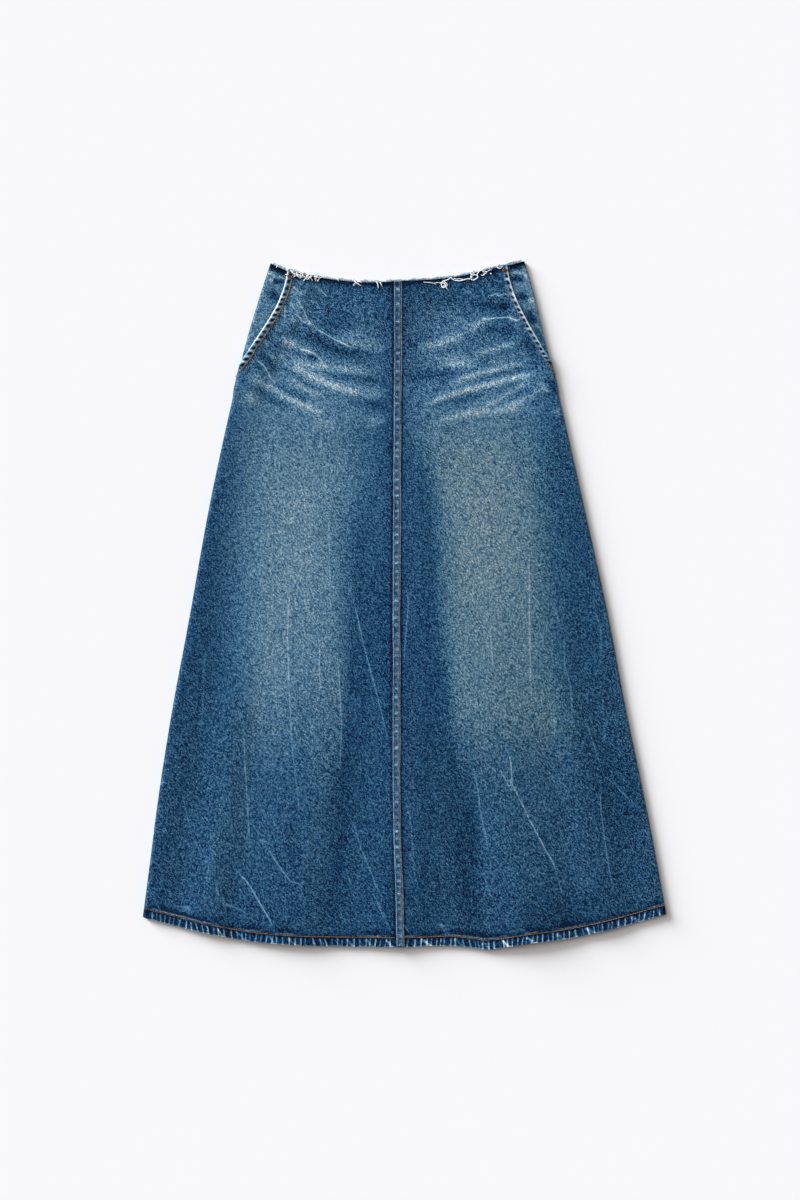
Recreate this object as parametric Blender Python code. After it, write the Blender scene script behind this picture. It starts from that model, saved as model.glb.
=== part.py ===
"""An A-line denim midi skirt with a raw frayed waist, lying flat on its back.

The skirt is a flattened tube. Every piece is placed on it by two numbers: how far round
from the centre line (negative towards the wearer's right, which is -X) and how far down
from the waist (0) to the hem (1). The front layer rolls over at each side and meets the
back layer at the side seam. +Y points from the hem to the waist, +Z away from the table.
All sizes are in metres. The origin is on the table, under the middle of the skirt.
"""

import math
import random
from collections import namedtuple

import bmesh
import bpy
from mathutils import Vector

# ---------------------------------------------------------------- driving sizes

CLOTH = 0.0012  # wall of one layer of denim
GAP = 0.0003  # clearance between two pieces that touch
FRAY = 0.0060  # depth of the frayed waist edge
HEM_DEPTH = 0.0145  # turned and stitched hem
HEM_THICK = 0.0028  # three layers
LENGTH = 0.9490  # along the centre front

RIGHT, LEFT = -1, 1  # the wearer's sides
SIDE_NAMES = {RIGHT: "right", LEFT: "left"}

# The front's outline and how high it lies, from the waist (0) to the hem (1).
Section = namedtuple("Section", "down right left rest fold")
SECTIONS = (  # half widths from the centre line; top of the cloth in the middle; side fold
    Section(0.000, 0.1798, 0.1802, 0.0056, 0.0066),
    Section(0.055, 0.1966, 0.1950, 0.0056, 0.0070),
    Section(0.130, 0.2174, 0.2118, 0.0052, 0.0074),
    Section(0.210, 0.2347, 0.2308, 0.0046, 0.0076),
    Section(0.360, 0.2640, 0.2636, 0.0040, 0.0078),
    Section(0.520, 0.2908, 0.2972, 0.0040, 0.0078),
    Section(0.670, 0.3164, 0.3246, 0.0044, 0.0078),
    Section(0.820, 0.3400, 0.3524, 0.0052, 0.0078),
    Section(1.000, 0.3664, 0.3796, 0.0070, 0.0080),
)

# The centre line, which leans and wanders a little.
CentrePoint = namedtuple("CentrePoint", "down x")
CENTRE_LINE = (
    CentrePoint(0.00, -0.0102),
    CentrePoint(0.15, -0.0101),
    CentrePoint(0.30, -0.0112),
    CentrePoint(0.45, -0.0120),
    CentrePoint(0.57, -0.0118),
    CentrePoint(0.69, -0.0124),
    CentrePoint(0.81, -0.0113),
    CentrePoint(0.92, -0.0084),
    CentrePoint(1.00, -0.0066),
)

# The waist and hem edges, from the right side seam (-1) to the left side seam (1).
EdgePoint = namedtuple("EdgePoint", "across height")
WAIST_LINE = (
    EdgePoint(-1.00, 0.4870),
    EdgePoint(-0.65, 0.4710),
    EdgePoint(-0.40, 0.4645),
    EdgePoint(-0.15, 0.4620),
    EdgePoint(0.00, 0.4640),
    EdgePoint(0.25, 0.4665),
    EdgePoint(0.50, 0.4720),
    EdgePoint(0.70, 0.4805),
    EdgePoint(1.00, 0.4927),
)
HEM_LINE = (
    EdgePoint(-1.00, -0.4435),
    EdgePoint(-0.80, -0.4620),
    EdgePoint(-0.60, -0.4766),
    EdgePoint(-0.40, -0.4830),
    EdgePoint(-0.20, -0.4850),
    EdgePoint(0.00, -0.4855),
    EdgePoint(0.20, -0.4842),
    EdgePoint(0.27, -0.4868),
    EdgePoint(0.33, -0.4893),
    EdgePoint(0.41, -0.4850),
    EdgePoint(0.50, -0.4798),
    EdgePoint(0.65, -0.4723),
    EdgePoint(0.80, -0.4597),
    EdgePoint(1.00, -0.4390),
)
BACK_WAIST_DROP = 0.0040  # the back's waist and hem lie just inside the front's
BACK_HEM_RISE = 0.0045

# Soft rolls of the front, where the flare stands up: the crest's share of the half width
# at the start and at the hem, how far its two flanks reach, and its height at the hem.
Roll = namedtuple("Roll", "side crest_start crest_hem inner outer height")
ROLLS = (
    Roll(RIGHT, 0.30, 0.41, 0.17, 0.30, 0.0045),
    Roll(LEFT, 0.36, 0.50, 0.22, 0.28, 0.0070),
    Roll(RIGHT, 0.70, 0.76, 0.13, 0.15, 0.0045),
    Roll(LEFT, 0.76, 0.79, 0.13, 0.14, 0.0040),
    Roll(RIGHT, 0.00, 0.00, 0.16, 0.18, 0.0025),
    Roll(LEFT, 0.00, 0.00, 0.16, 0.16, 0.0025),
)
ROLL_START = 0.34

# The slanted pocket mouth: how far it lies in from the side seam.
MouthPoint = namedtuple("MouthPoint", "down inset")
MOUTH = (
    MouthPoint(0.000, 0.0262),
    MouthPoint(0.028, 0.0287),
    MouthPoint(0.052, 0.0276),
    MouthPoint(0.072, 0.0242),
    MouthPoint(0.092, 0.0196),
    MouthPoint(0.110, 0.0148),
    MouthPoint(0.128, 0.0096),
    MouthPoint(0.146, 0.0044),
    MouthPoint(0.164, 0.0000),
)
MOUTH_END = MOUTH[-1].down
POCKET_LIFT = CLOTH + GAP  # the front panel over the pocket facing
FACING_UNDER = 0.026  # how far the facing reaches under the front panel
FACING_END = 0.188
TURNED_CLOTH = 0.0010  # the folded layer that lies on a panel at an edge or seam
FELL_WIDTH = 0.0105  # the felled centre front seam

# The closure: a zip in the centre back seam.
ZIP_LENGTH = 0.180
TAPE_WIDTH, TAPE_THICK = 0.0110, 0.0006
COIL_WIDTH, COIL_THICK = 0.0022, 0.0011
SLIDER_DOWN = 0.014  # from the back panel's top edge to the slider's middle
SLIDER_BODY = Vector((0.0066, 0.0100, 0.0018))
SLIDER_NECK = 0.0008  # width of the neck between the two panels
SLOT_HALF = 0.0007  # half of the slot that the neck stands in
BACK_RISE = 0.0022  # the back arches over the slider's bridge and pull
FRONT_SLIDER_RISE = 0.0026
PULL_LENGTH, PULL_WIDTH, PULL_THICK = 0.020, 0.0046, 0.0006
PULL_BAR = 0.0007  # the pull's end bar, in the slider's bridge
PULL_HEIGHT = 0.0014  # the pull's axis above the table
BRIDGE_LENGTH, BRIDGE_PILLAR, BRIDGE_BAR = 0.0054, 0.0010, 0.0006

# The pieces' colours and finish.
Finish = namedtuple("Finish", "name colour roughness metallic")
DENIM = Finish("denim", (0.055, 0.130, 0.215), 0.86, 0.0)
DENIM_WORN = Finish("denim_worn", (0.190, 0.300, 0.380), 0.88, 0.0)
DENIM_HEM = Finish("denim_hem", (0.075, 0.150, 0.230), 0.88, 0.0)
RAW_YARN = Finish("raw_yarn", (0.560, 0.640, 0.700), 0.95, 0.0)
ZIP_TAPE = Finish("zip_tape", (0.030, 0.060, 0.110), 0.80, 0.0)
ZIP_METAL = Finish("zip_metal", (0.420, 0.330, 0.200), 0.35, 1.0)

# ---------------------------------------------------------------- the shape of the skirt


def smooth_step(x):
    """0 below 0, 1 above 1, and a smooth climb between them."""
    x = min(1.0, max(0.0, x))
    return x * x * (3 - 2 * x)


def curve_through(rows, column):
    """A smooth curve through one column of a table, as a function of the first column."""
    at = [row[0] for row in rows]
    value = [getattr(row, column) for row in rows]
    last = len(rows) - 1
    slope = [
        (value[min(i + 1, last)] - value[max(i - 1, 0)]) / (at[min(i + 1, last)] - at[max(i - 1, 0)])
        for i in range(last + 1)
    ]

    def curve(x):
        x = min(at[-1], max(at[0], x))
        i = max(k for k in range(last) if x >= at[k])
        span = at[i + 1] - at[i]
        t = (x - at[i]) / span
        return (
            (2 * t**3 - 3 * t**2 + 1) * value[i]
            + (t**3 - 2 * t**2 + t) * span * slope[i]
            + (3 * t**2 - 2 * t**3) * value[i + 1]
            + (t**3 - t**2) * span * slope[i + 1]
        )

    return curve


half_width = {side: curve_through(SECTIONS, name) for side, name in SIDE_NAMES.items()}
rest_height = curve_through(SECTIONS, "rest")
fold_height = curve_through(SECTIONS, "fold")
waist_height = curve_through(WAIST_LINE, "height")
hem_height = curve_through(HEM_LINE, "height")
mouth_curve = curve_through(MOUTH, "inset")
centre_x = curve_through(CENTRE_LINE, "x")

TOP = FRAY / LENGTH  # where the panels start, under the fray
HEM_TOP = 1 - HEM_DEPTH / LENGTH  # where the hem starts
GAP_DOWN = GAP / LENGTH
SLIDER_AT = TOP + SLIDER_DOWN / LENGTH
SLIDER_HALF = SLIDER_BODY.y / 2 / LENGTH
ZIP_END = TOP + ZIP_LENGTH / LENGTH


def arc_length(down):
    """Length round the outside of the side fold, from its top to the side seam."""
    return math.pi / 4 * fold_height(down)


def seam_at(side, down):
    """Distance from the centre line to the side seam, along the cloth."""
    return half_width[side](down) - fold_height(down) / 2 + arc_length(down)


def mouth_inset(down):
    """How far the front panel's edge lies in from the side seam."""
    return max(0.0, mouth_curve(down)) if down < MOUTH_END else 0.0


def height_along(across, down, back):
    """Y of a point: between the waist line and the hem line."""
    top, bottom = waist_height(across), hem_height(across)
    if back:
        top -= BACK_WAIST_DROP * (1 - across**2)
        bottom += BACK_HEM_RISE * (1 - across**2)
    return top + (bottom - top) * down


def rolls_height(side, across, down):
    """How far the rolls lift the front at a share of the half width."""
    grown = smooth_step((down - ROLL_START) / (1 - ROLL_START))
    lift = 0.0
    for roll in ROLLS:
        if roll.side != side:
            continue
        crest = roll.crest_start + (roll.crest_hem - roll.crest_start) * grown
        reach = roll.inner if across < crest else roll.outer
        share = min(1.0, abs(across - crest) / reach)
        lift += roll.height * grown * (1 + math.cos(math.pi * share)) / 2
    return lift


def near_slider(away, down, first, last, core, skirt):
    """1 over the zip between two shares of the length, falling to 0 beyond core + skirt."""
    past = max(0.0, first - down, down - last) * LENGTH
    return 1 - smooth_step((math.hypot(away, past) - core) / skirt)


def back_rise(away, down):
    """The back's arch over the slider's bridge and pull."""
    end = SLIDER_AT + (PULL_LENGTH + 0.006) / LENGTH
    return BACK_RISE * near_slider(away, down, 0, end, 0.006, 0.022)


def front_rise(away, down):
    """The front's rise over the slider."""
    end = SLIDER_AT + 0.006 / LENGTH
    return FRONT_SLIDER_RISE * near_slider(away, down, 0, end, 0.010, 0.060)


def pocket_lift(side, away, down):
    """The front panel's lift over the pocket facing, fading out past the facing's edges."""
    inner = seam_at(side, down) - mouth_inset(min(down, MOUTH_END)) - FACING_UNDER
    beside = (inner - 0.004 - away) / 0.018
    below = (down - FACING_END - 0.004) / 0.020
    return POCKET_LIFT * (1 - smooth_step(beside)) * (1 - smooth_step(below))


def outer_point(layer, along, down):
    """A point of the cloth's outer face.

    layer is "front", "facing" or "back"; along is the distance from the centre line along
    the cloth, negative to the right; down runs from 0 at the waist to 1 at the hem.
    """
    side = RIGHT if along < 0 else LEFT
    away = abs(along)
    radius = fold_height(down) / 2
    flat = half_width[side](down) - radius
    back = layer == "back"
    turn = max(0.0, (away - flat) / radius)
    out = min(away, flat) + radius * math.sin(turn)
    if back:
        high = back_rise(away, down) if turn == 0 else 0.0
        high += radius * (1 - math.cos(turn))
    else:
        to_fold = smooth_step(1 - (flat - away) / 0.060)
        top = rest_height(down) + (2 * radius - rest_height(down)) * to_fold
        top += rolls_height(side, min(1.0, away / flat), down) * (1 - to_fold)
        top += front_rise(away, down)
        high = top - radius * (1 - math.cos(turn))
    across = side * min(1.0, out / half_width[side](down))
    return Vector((centre_x(down) + side * out, height_along(across, down, back), high))


def cloth_point(layer, along, down, depth):
    """The point a certain depth under the cloth's outer face; a negative depth is above it."""
    step, small = 0.0004, 0.0008
    point = outer_point(layer, along, down)
    if step < abs(along):
        run = outer_point(layer, along + step, down) - outer_point(layer, along - step, down)
    else:
        run = Vector((1, 0, 0))
    fall = outer_point(layer, along, down + small) - outer_point(layer, along, down - small)
    normal = run.cross(-fall).normalized()
    if layer == "back":
        normal = -normal
    if layer == "front":
        depth = depth - pocket_lift(RIGHT if along < 0 else LEFT, abs(along), down)
    return point - normal * depth


# ---------------------------------------------------------------- building tools


def clear_scene():
    for thing in list(bpy.data.objects):
        bpy.data.objects.remove(thing)


def material_of(finish):
    """The finish's material, made once."""
    found = bpy.data.materials.get(finish.name)
    if found:
        return found
    made = bpy.data.materials.new(finish.name)
    made.use_nodes = True
    shader = made.node_tree.nodes["Principled BSDF"]
    shader.inputs["Base Color"].default_value = (*finish.colour, 1)
    shader.inputs["Roughness"].default_value = finish.roughness
    shader.inputs["Metallic"].default_value = finish.metallic
    return made


def add_object(name, bm, finish):
    """A named object from a closed bmesh, shaded smooth over its soft edges."""
    bmesh.ops.recalc_face_normals(bm, faces=bm.faces)
    mesh = bpy.data.meshes.new(name)
    bm.to_mesh(mesh)
    bm.free()
    mesh.shade_smooth()
    mesh.set_sharp_from_angle(angle=math.radians(40))
    made = bpy.data.objects.new(name, mesh)
    made.data.materials.append(material_of(finish))
    bpy.context.scene.collection.objects.link(made)
    return made


def wall(columns, rows, place):
    """A closed wall: a grid of cloth extruded into a second skin.

    place(column, row, is_inner) gives the point for one entry of columns and rows.
    """
    bm = bmesh.new()
    last_column, last_row = len(columns) - 1, len(rows) - 1
    bmesh.ops.create_grid(bm, x_segments=last_column, y_segments=last_row, size=1)
    grown = bmesh.ops.extrude_face_region(bm, geom=bm.faces[:])
    inner = {part for part in grown["geom"] if isinstance(part, bmesh.types.BMVert)}
    for vert in bm.verts:
        column = columns[round((vert.co.x + 1) / 2 * last_column)]
        row = rows[round((1 - vert.co.y) / 2 * last_row)]
        vert.co = place(column, row, vert in inner)
    return bm


def spread(count, start=0.0, end=1.0):
    """Evenly spaced numbers from start to end."""
    return [start + (end - start) * i / count for i in range(count + 1)]


def in_panel(share):
    """Shares of a panel's own length, as shares of the skirt's."""
    return TOP + (HEM_TOP - GAP_DOWN - TOP) * share


# ---------------------------------------------------------------- the panels

# A column lies at a share of the way to the edge zone, or at a number of arc lengths
# before the edge; extra is a fixed distance more, away from the centre or from the edge.
Column = namedtuple("Column", "share arcs extra", defaults=(None, None, 0.0))
EDGE_ZONE = 0.030
EDGE_COLUMNS = tuple(
    Column(arcs=arcs, extra=extra)
    for arcs, extra in ((1, 0.012), (1, 0.003), (1, 0), (0.75, 0), (0.5, 0), (0.25, 0), (0, 0))
)
FRONT_COLUMNS = (
    *(Column(share=s) for s in (0, 0.05, 0.10, 0.15, 0.20, 0.24, 0.28, 0.32, 0.36, 0.40)),
    *(Column(share=s) for s in (0.45, 0.50, 0.56, 0.62, 0.69, 0.77, 0.85, 0.93, 1.0)),
    *EDGE_COLUMNS,
)
HIP_ROWS = (0, 0.014, 0.028, 0.055, 0.080, 0.103, 0.125, 0.145, 0.162, 0.182, 0.205)
LOWER_ROWS = tuple(
    in_panel(share)
    for share in (0.24, 0.30, 0.36, 0.42, 0.48, 0.54, 0.60, 0.66, 0.72, 0.78, 0.84, 0.90, 0.95, 1.0)
)
FRONT_ROWS = (*(in_panel(share) for share in HIP_ROWS), *LOWER_ROWS)
ZIP_COLUMNS = (0.0, 0.0055, TAPE_WIDTH)  # the back panels and the zip tapes share these
BACK_COLUMNS = (
    *(Column(share=0, extra=distance) for distance in (*ZIP_COLUMNS, 0.018, 0.028)),
    *(Column(share=s) for s in (0.26, 0.35, 0.44, 0.53, 0.62, 0.71, 0.80, 0.90, 1.0)),
    *EDGE_COLUMNS[1:],
)
SLOT_TOP = SLIDER_AT - (BRIDGE_LENGTH / 2 + 2 * GAP) / LENGTH
SLOT_END = SLIDER_AT + (BRIDGE_LENGTH / 2 + 2 * GAP) / LENGTH
SLOT_TAPER = 0.0009
COIL_START = SLIDER_AT + SLIDER_HALF + 2 * GAP_DOWN
SLIDER_ROWS = (
    SLOT_TOP - SLOT_TAPER,
    SLOT_TOP,
    SLOT_END,
    SLOT_END + SLOT_TAPER,
    COIL_START - GAP_DOWN,
    COIL_START,
)
ZIP_ROWS = tuple(in_panel(share) for share in (0.028, 0.040, 0.055, 0.080, 0.12, 0.16))
BACK_ROWS = (TOP, *SLIDER_ROWS, *ZIP_ROWS, ZIP_END, *LOWER_ROWS)


def column_at(column, start, edge, down):
    """Distance from the centre line of a column between the panel's two edges."""
    if column.arcs is None:
        return max(start, column.share * (edge - EDGE_ZONE) + column.extra)
    return edge - column.arcs * arc_length(down) - column.extra


def centre_gap(down, back):
    """Half of the gap between two panels at the centre, wider at the slider's neck."""
    in_slot = back and SLOT_TOP - 1e-6 <= down <= SLOT_END + 1e-6
    return SLOT_HALF if in_slot else GAP / 2


def add_front_panel(side):
    """A front panel, from the centre front to the side seam and the pocket mouth."""

    def place(column, down, is_inner):
        edge = seam_at(side, down) - mouth_inset(down) - GAP / 2
        along = column_at(column, centre_gap(down, False), edge, down)
        return cloth_point("front", side * along, down, CLOTH if is_inner else 0)

    bm = wall(FRONT_COLUMNS, FRONT_ROWS, place)
    add_object(f"front_panel_{SIDE_NAMES[side]}", bm, DENIM)


def add_back_panel(side):
    """A back panel, flat on the table and turned up to the side seam."""

    def place(column, down, is_inner):
        edge = seam_at(side, down) - GAP / 2
        along = column_at(column, centre_gap(down, True), edge, down)
        return cloth_point("back", side * along, down, CLOTH if is_inner else 0)

    bm = wall(BACK_COLUMNS, BACK_ROWS, place)
    add_object(f"back_panel_{SIDE_NAMES[side]}", bm, DENIM)


# ---------------------------------------------------------------- the pockets


def add_pocket_facing(side):
    """The hip piece that shows beside the pocket mouth and runs under the front panel."""
    columns = (*(Column(share=s) for s in (0, 0.33, 0.67, 1.0)), *EDGE_COLUMNS[1:])
    rows = [TOP + (FACING_END - TOP) * share for share in spread(12)]

    def place(column, down, is_inner):
        edge = seam_at(side, down) - GAP / 2
        covered = smooth_step((down - MOUTH_END + 0.030) / 0.030) * (CLOTH + GAP)
        start = edge - mouth_inset(min(down, MOUTH_END)) - FACING_UNDER
        if column.arcs is None:
            along = start + column.share * (edge - arc_length(down) - 0.009 - start)
        else:
            along = column_at(column, start, edge, down)
        return cloth_point("facing", side * along, down, covered + (CLOTH if is_inner else 0))

    bm = wall(columns, rows, place)
    add_object(f"pocket_facing_{SIDE_NAMES[side]}", bm, DENIM_WORN)


def add_pocket_edge(side):
    """The turned and stitched edge of the pocket mouth, lying on the front panel."""
    rows = [down for down in FRONT_ROWS if down < MOUTH_END]

    def place(column, down, is_inner):
        edge = seam_at(side, down) - mouth_inset(down) - GAP / 2
        along = column_at(column, 0, edge, down)
        depth = -GAP if is_inner else -GAP - TURNED_CLOTH
        return cloth_point("front", side * along, down, depth)

    bm = wall(EDGE_COLUMNS[1:], rows, place)
    add_object(f"pocket_edge_{SIDE_NAMES[side]}", bm, DENIM_WORN)


# ---------------------------------------------------------------- the centre front seam


def add_front_seam():
    """The felled seam down the centre front: a folded strip over both panels and hems."""
    rows = (*FRONT_ROWS, HEM_TOP + 0.5 * (1 - HEM_TOP), 1.0)

    def place(column, down, is_inner):
        depth = -GAP if is_inner else -GAP - TURNED_CLOTH
        return cloth_point("front", column * FELL_WIDTH / 2, down, depth)

    bm = wall((-1.0, -0.6, 0.6, 1.0), rows, place)
    add_object("front_seam", bm, DENIM_WORN)


# ---------------------------------------------------------------- the hem

PUCKER_PITCH, PUCKER_DEPTH = 0.0083, 0.0004
PLAIN_BY_SEAM = 0.009  # no puckers under the felled seam or at the side seam

# A row across the hem's depth: how far down it lies, and how far both faces are tucked in.
HemRow = namedtuple("HemRow", "drop tuck")
HEM_ROWS = (HemRow(0.0, 0.0), HemRow(0.5, 0.0), HemRow(1.0, 0.0006))


def add_hem(side, layer, columns, pucker_at):
    """Half of the front or back hem: three layers of cloth.

    pucker_at(order) tells which columns are drawn in by the stitches.
    """

    def place(column, row, is_inner):
        order, position = column
        down = HEM_TOP + row.drop * (1 - HEM_TOP)
        edge = seam_at(side, down) - GAP / 2
        along = column_at(position, GAP / 2, edge, down)
        clear = PLAIN_BY_SEAM < along < edge - PLAIN_BY_SEAM
        drawn_in = PUCKER_DEPTH * (1 - row.drop / 2) if clear and pucker_at(order) else 0.0
        depth = HEM_THICK - row.tuck if is_inner else row.tuck + drawn_in
        return cloth_point(layer, side * along, down, depth)

    bm = wall(list(enumerate(columns)), HEM_ROWS, place)
    add_object(f"{layer}_hem_{SIDE_NAMES[side]}", bm, DENIM_HEM)


def add_front_hem(side):
    """Half of the front hem, with a pucker at every second column."""
    flat_part = seam_at(side, HEM_TOP) - EDGE_ZONE
    count = 2 * round(flat_part / PUCKER_PITCH)
    columns = (*(Column(share=s) for s in spread(count)), *EDGE_COLUMNS)
    add_hem(side, "front", columns, lambda order: order % 2 == 1)


def add_back_hem(side):
    """Half of the back hem, plain because it rests on the table."""
    add_hem(side, "back", BACK_COLUMNS, lambda order: False)


# ---------------------------------------------------------------- the frayed waist

FRAY_BACKING = 0.0016  # the strip that the locks stand on
LOCK_SPACING = 0.0032
LOCK_MIN, LOCK_MAX, LOCK_LEAN = 0.0022, 0.0046, 0.0016


def add_fray(name, layer, start, end, seed):
    """Frayed locks on a narrow strip along the waist, from start to end round the waist."""
    rng = random.Random(seed)
    count = round((end - start) / LOCK_SPACING)
    strip_end = TOP - GAP_DOWN
    strip_start = strip_end - FRAY_BACKING / LENGTH
    lift = GAP if layer == "back" else 0.0

    def place(along, down, is_inner):
        depth = CLOTH if is_inner else 0.0
        return cloth_point(layer, along, down, depth) + Vector((0, 0, lift))

    bm = wall(spread(count, start, end), (strip_start, strip_end), place)
    bmesh.ops.recalc_face_normals(bm, faces=bm.faces)
    tops = [face for face in bm.faces if face.normal.y > 0.6]
    tops.sort(key=lambda face: face.calc_center_median().x)
    for lock in bmesh.ops.extrude_discrete_faces(bm, faces=tops[1:-1:2])["faces"]:
        middle = lock.calc_center_median()
        reach = Vector((rng.uniform(-1, 1) * LOCK_LEAN, rng.uniform(LOCK_MIN, LOCK_MAX), 0))
        for vert in lock.verts:
            vert.co = middle + (vert.co - middle) * 0.35 + reach
    add_object(name, bm, RAW_YARN)


def add_frayed_waist():
    """The raw waist edge: one strip across the front, one on each side of the zip."""
    reach = {side: seam_at(side, 0) - arc_length(0) for side in SIDE_NAMES}
    add_fray("waist_fray_front", "front", -reach[RIGHT], reach[LEFT], seed=11)
    add_fray("waist_fray_back_right", "back", -reach[RIGHT], -2 * SLOT_HALF, seed=12)
    add_fray("waist_fray_back_left", "back", 2 * SLOT_HALF, reach[LEFT], seed=13)


# ---------------------------------------------------------------- the zip


def add_zip_half(side):
    """One zip tape with its half of the coil, on the inside of a back panel."""
    columns = (0.0, COIL_WIDTH, COIL_WIDTH + 0.0002, *ZIP_COLUMNS[1:])

    def place(column, down, is_inner):
        start = GAP / 2 if down >= COIL_START else SLOT_HALF
        coiled = is_inner and column <= COIL_WIDTH and down >= COIL_START
        thick = TAPE_THICK + (COIL_THICK if coiled else 0.0)
        depth = CLOTH + GAP + (thick if is_inner else 0.0)
        return cloth_point("back", side * max(start, column), down, depth)

    bm = wall(columns, (*SLIDER_ROWS, *ZIP_ROWS, ZIP_END), place)
    add_object(f"zip_tape_{SIDE_NAMES[side]}", bm, ZIP_TAPE)


def box_mesh(name, centre, size, bevel=0.0):
    """A box with rounded edges, as a helper that Booleans read."""
    bm = bmesh.new()
    bmesh.ops.create_cube(bm, size=1)
    bmesh.ops.scale(bm, vec=size, verts=bm.verts)
    if bevel:
        bmesh.ops.bevel(
            bm, geom=bm.edges[:], offset=bevel, segments=2, profile=0.5, affect="EDGES", material=-1
        )
    bmesh.ops.translate(bm, vec=centre, verts=bm.verts)
    made = add_object(name, bm, ZIP_METAL)
    made.hide_render = True
    made.display_type = "WIRE"
    return made


def boolean(target, operation, other):
    """A live Boolean on the target with another object."""
    modifier = target.modifiers.new(other.name, "BOOLEAN")
    modifier.operation = operation
    modifier.solver = "EXACT"
    modifier.object = other


def slider_centre():
    """The point on the table under the slider's middle."""
    return Vector((centre_x(SLIDER_AT), height_along(0, SLIDER_AT, True), 0))


def add_zip_slider():
    """The slider: a body inside the skirt, and a neck that ends in the bridge outside it."""
    middle = slider_centre()
    body_low = BACK_RISE + CLOTH + GAP + TAPE_THICK + GAP
    body_middle = Vector((0, 0, body_low + SLIDER_BODY.z / 2))
    slider = box_mesh("zip_slider", middle + body_middle, SLIDER_BODY, bevel=0.0007)
    slider.hide_render = False
    slider.display_type = "TEXTURED"
    neck_low, neck_high = GAP, body_low + SLIDER_BODY.z / 2
    neck = box_mesh(
        "slider_neck",
        middle + Vector((0, 0, (neck_low + neck_high) / 2)),
        Vector((SLIDER_NECK, BRIDGE_LENGTH, neck_high - neck_low)),
    )
    window_low, window_high = neck_low + BRIDGE_BAR, BACK_RISE - GAP
    window = box_mesh(
        "bridge_window",
        middle + Vector((0, 0, (window_low + window_high) / 2)),
        Vector((4 * SLIDER_NECK, BRIDGE_LENGTH - 2 * BRIDGE_PILLAR, window_high - window_low)),
    )
    boolean(slider, "UNION", neck)
    boolean(slider, "DIFFERENCE", window)


def add_zip_pull():
    """The pull: a plate with a window, whose end bar lies in the slider's bridge."""
    axis = slider_centre() + Vector((0, 0, PULL_HEIGHT))
    plate_middle = Vector((0, (PULL_BAR - PULL_LENGTH) / 2, 0))
    pull = box_mesh("zip_pull", plate_middle, Vector((PULL_WIDTH, PULL_LENGTH, PULL_THICK)))
    pull.hide_render = False
    pull.display_type = "TEXTURED"
    window_long = 0.0042
    window = box_mesh(
        "pull_window",
        Vector((0, -(PULL_BAR + window_long) / 2, 0)),
        Vector((PULL_WIDTH - 2 * 0.0010, window_long, 4 * PULL_THICK)),
    )
    boolean(pull, "DIFFERENCE", window)
    hinge = bpy.data.objects.new("pull_axis", None)
    bpy.context.scene.collection.objects.link(hinge)
    hinge.location = axis
    pull.parent = hinge
    window.parent = hinge


def main():
    clear_scene()
    for side in SIDE_NAMES:
        add_front_panel(side)
        add_back_panel(side)
        add_pocket_facing(side)
        add_pocket_edge(side)
        add_front_hem(side)
        add_back_hem(side)
        add_zip_half(side)
    add_front_seam()
    add_frayed_waist()
    add_zip_slider()
    add_zip_pull()


main()
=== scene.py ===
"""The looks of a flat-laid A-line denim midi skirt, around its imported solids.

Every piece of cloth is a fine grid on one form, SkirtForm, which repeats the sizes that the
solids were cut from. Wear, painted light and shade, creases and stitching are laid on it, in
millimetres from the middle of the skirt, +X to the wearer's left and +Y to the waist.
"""

import logging
import math
from dataclasses import dataclass
from enum import Enum
from functools import reduce
from typing import Callable, Iterable, Sequence

import bmesh
import bpy
import numpy as np
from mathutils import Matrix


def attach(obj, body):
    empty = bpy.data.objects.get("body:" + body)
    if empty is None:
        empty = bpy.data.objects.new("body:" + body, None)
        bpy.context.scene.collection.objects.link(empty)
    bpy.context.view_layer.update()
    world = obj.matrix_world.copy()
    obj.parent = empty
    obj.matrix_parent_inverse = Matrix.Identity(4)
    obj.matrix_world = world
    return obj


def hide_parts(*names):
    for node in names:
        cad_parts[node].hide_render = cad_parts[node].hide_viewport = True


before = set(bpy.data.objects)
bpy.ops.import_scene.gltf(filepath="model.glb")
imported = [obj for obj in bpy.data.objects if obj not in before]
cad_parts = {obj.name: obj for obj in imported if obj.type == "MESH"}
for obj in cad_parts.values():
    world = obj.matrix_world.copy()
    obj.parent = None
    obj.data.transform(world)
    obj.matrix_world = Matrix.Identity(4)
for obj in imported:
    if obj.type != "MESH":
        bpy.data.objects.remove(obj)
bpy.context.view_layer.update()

logging.basicConfig(level=logging.INFO, format="%(message)s")
log = logging.getLogger("skirt")

Array = np.ndarray
Piece, Material = bpy.types.Object, bpy.types.Material
Pair = tuple[Array, Array]
Point = tuple[float, float]
Line = tuple[Point, ...]
Row = tuple[float, ...]
Colour = tuple[int, int, int]
MM = 0.001


class Side(Enum):
    """A side of the wearer: the right lies at -X."""

    RIGHT = -1
    LEFT = 1

    @property
    def word(self) -> str:
        """The side's name in the nodes."""
        return self.name.lower()


class Layer(Enum):
    """A layer of the laid skirt."""

    FRONT = "front"
    FACING = "facing"
    BACK = "back"


# ---- curves and strokes ----


def smooth(x: Array) -> Array:
    """0 below 0, 1 above 1, and a smooth climb between them."""
    x = np.clip(x, 0.0, 1.0)
    return x * x * (3 - 2 * x)


def bell(x: Array) -> Array:
    """A smooth bump that is 1 at 0 and falls away on both sides."""
    return np.exp(-(x**2))


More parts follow.
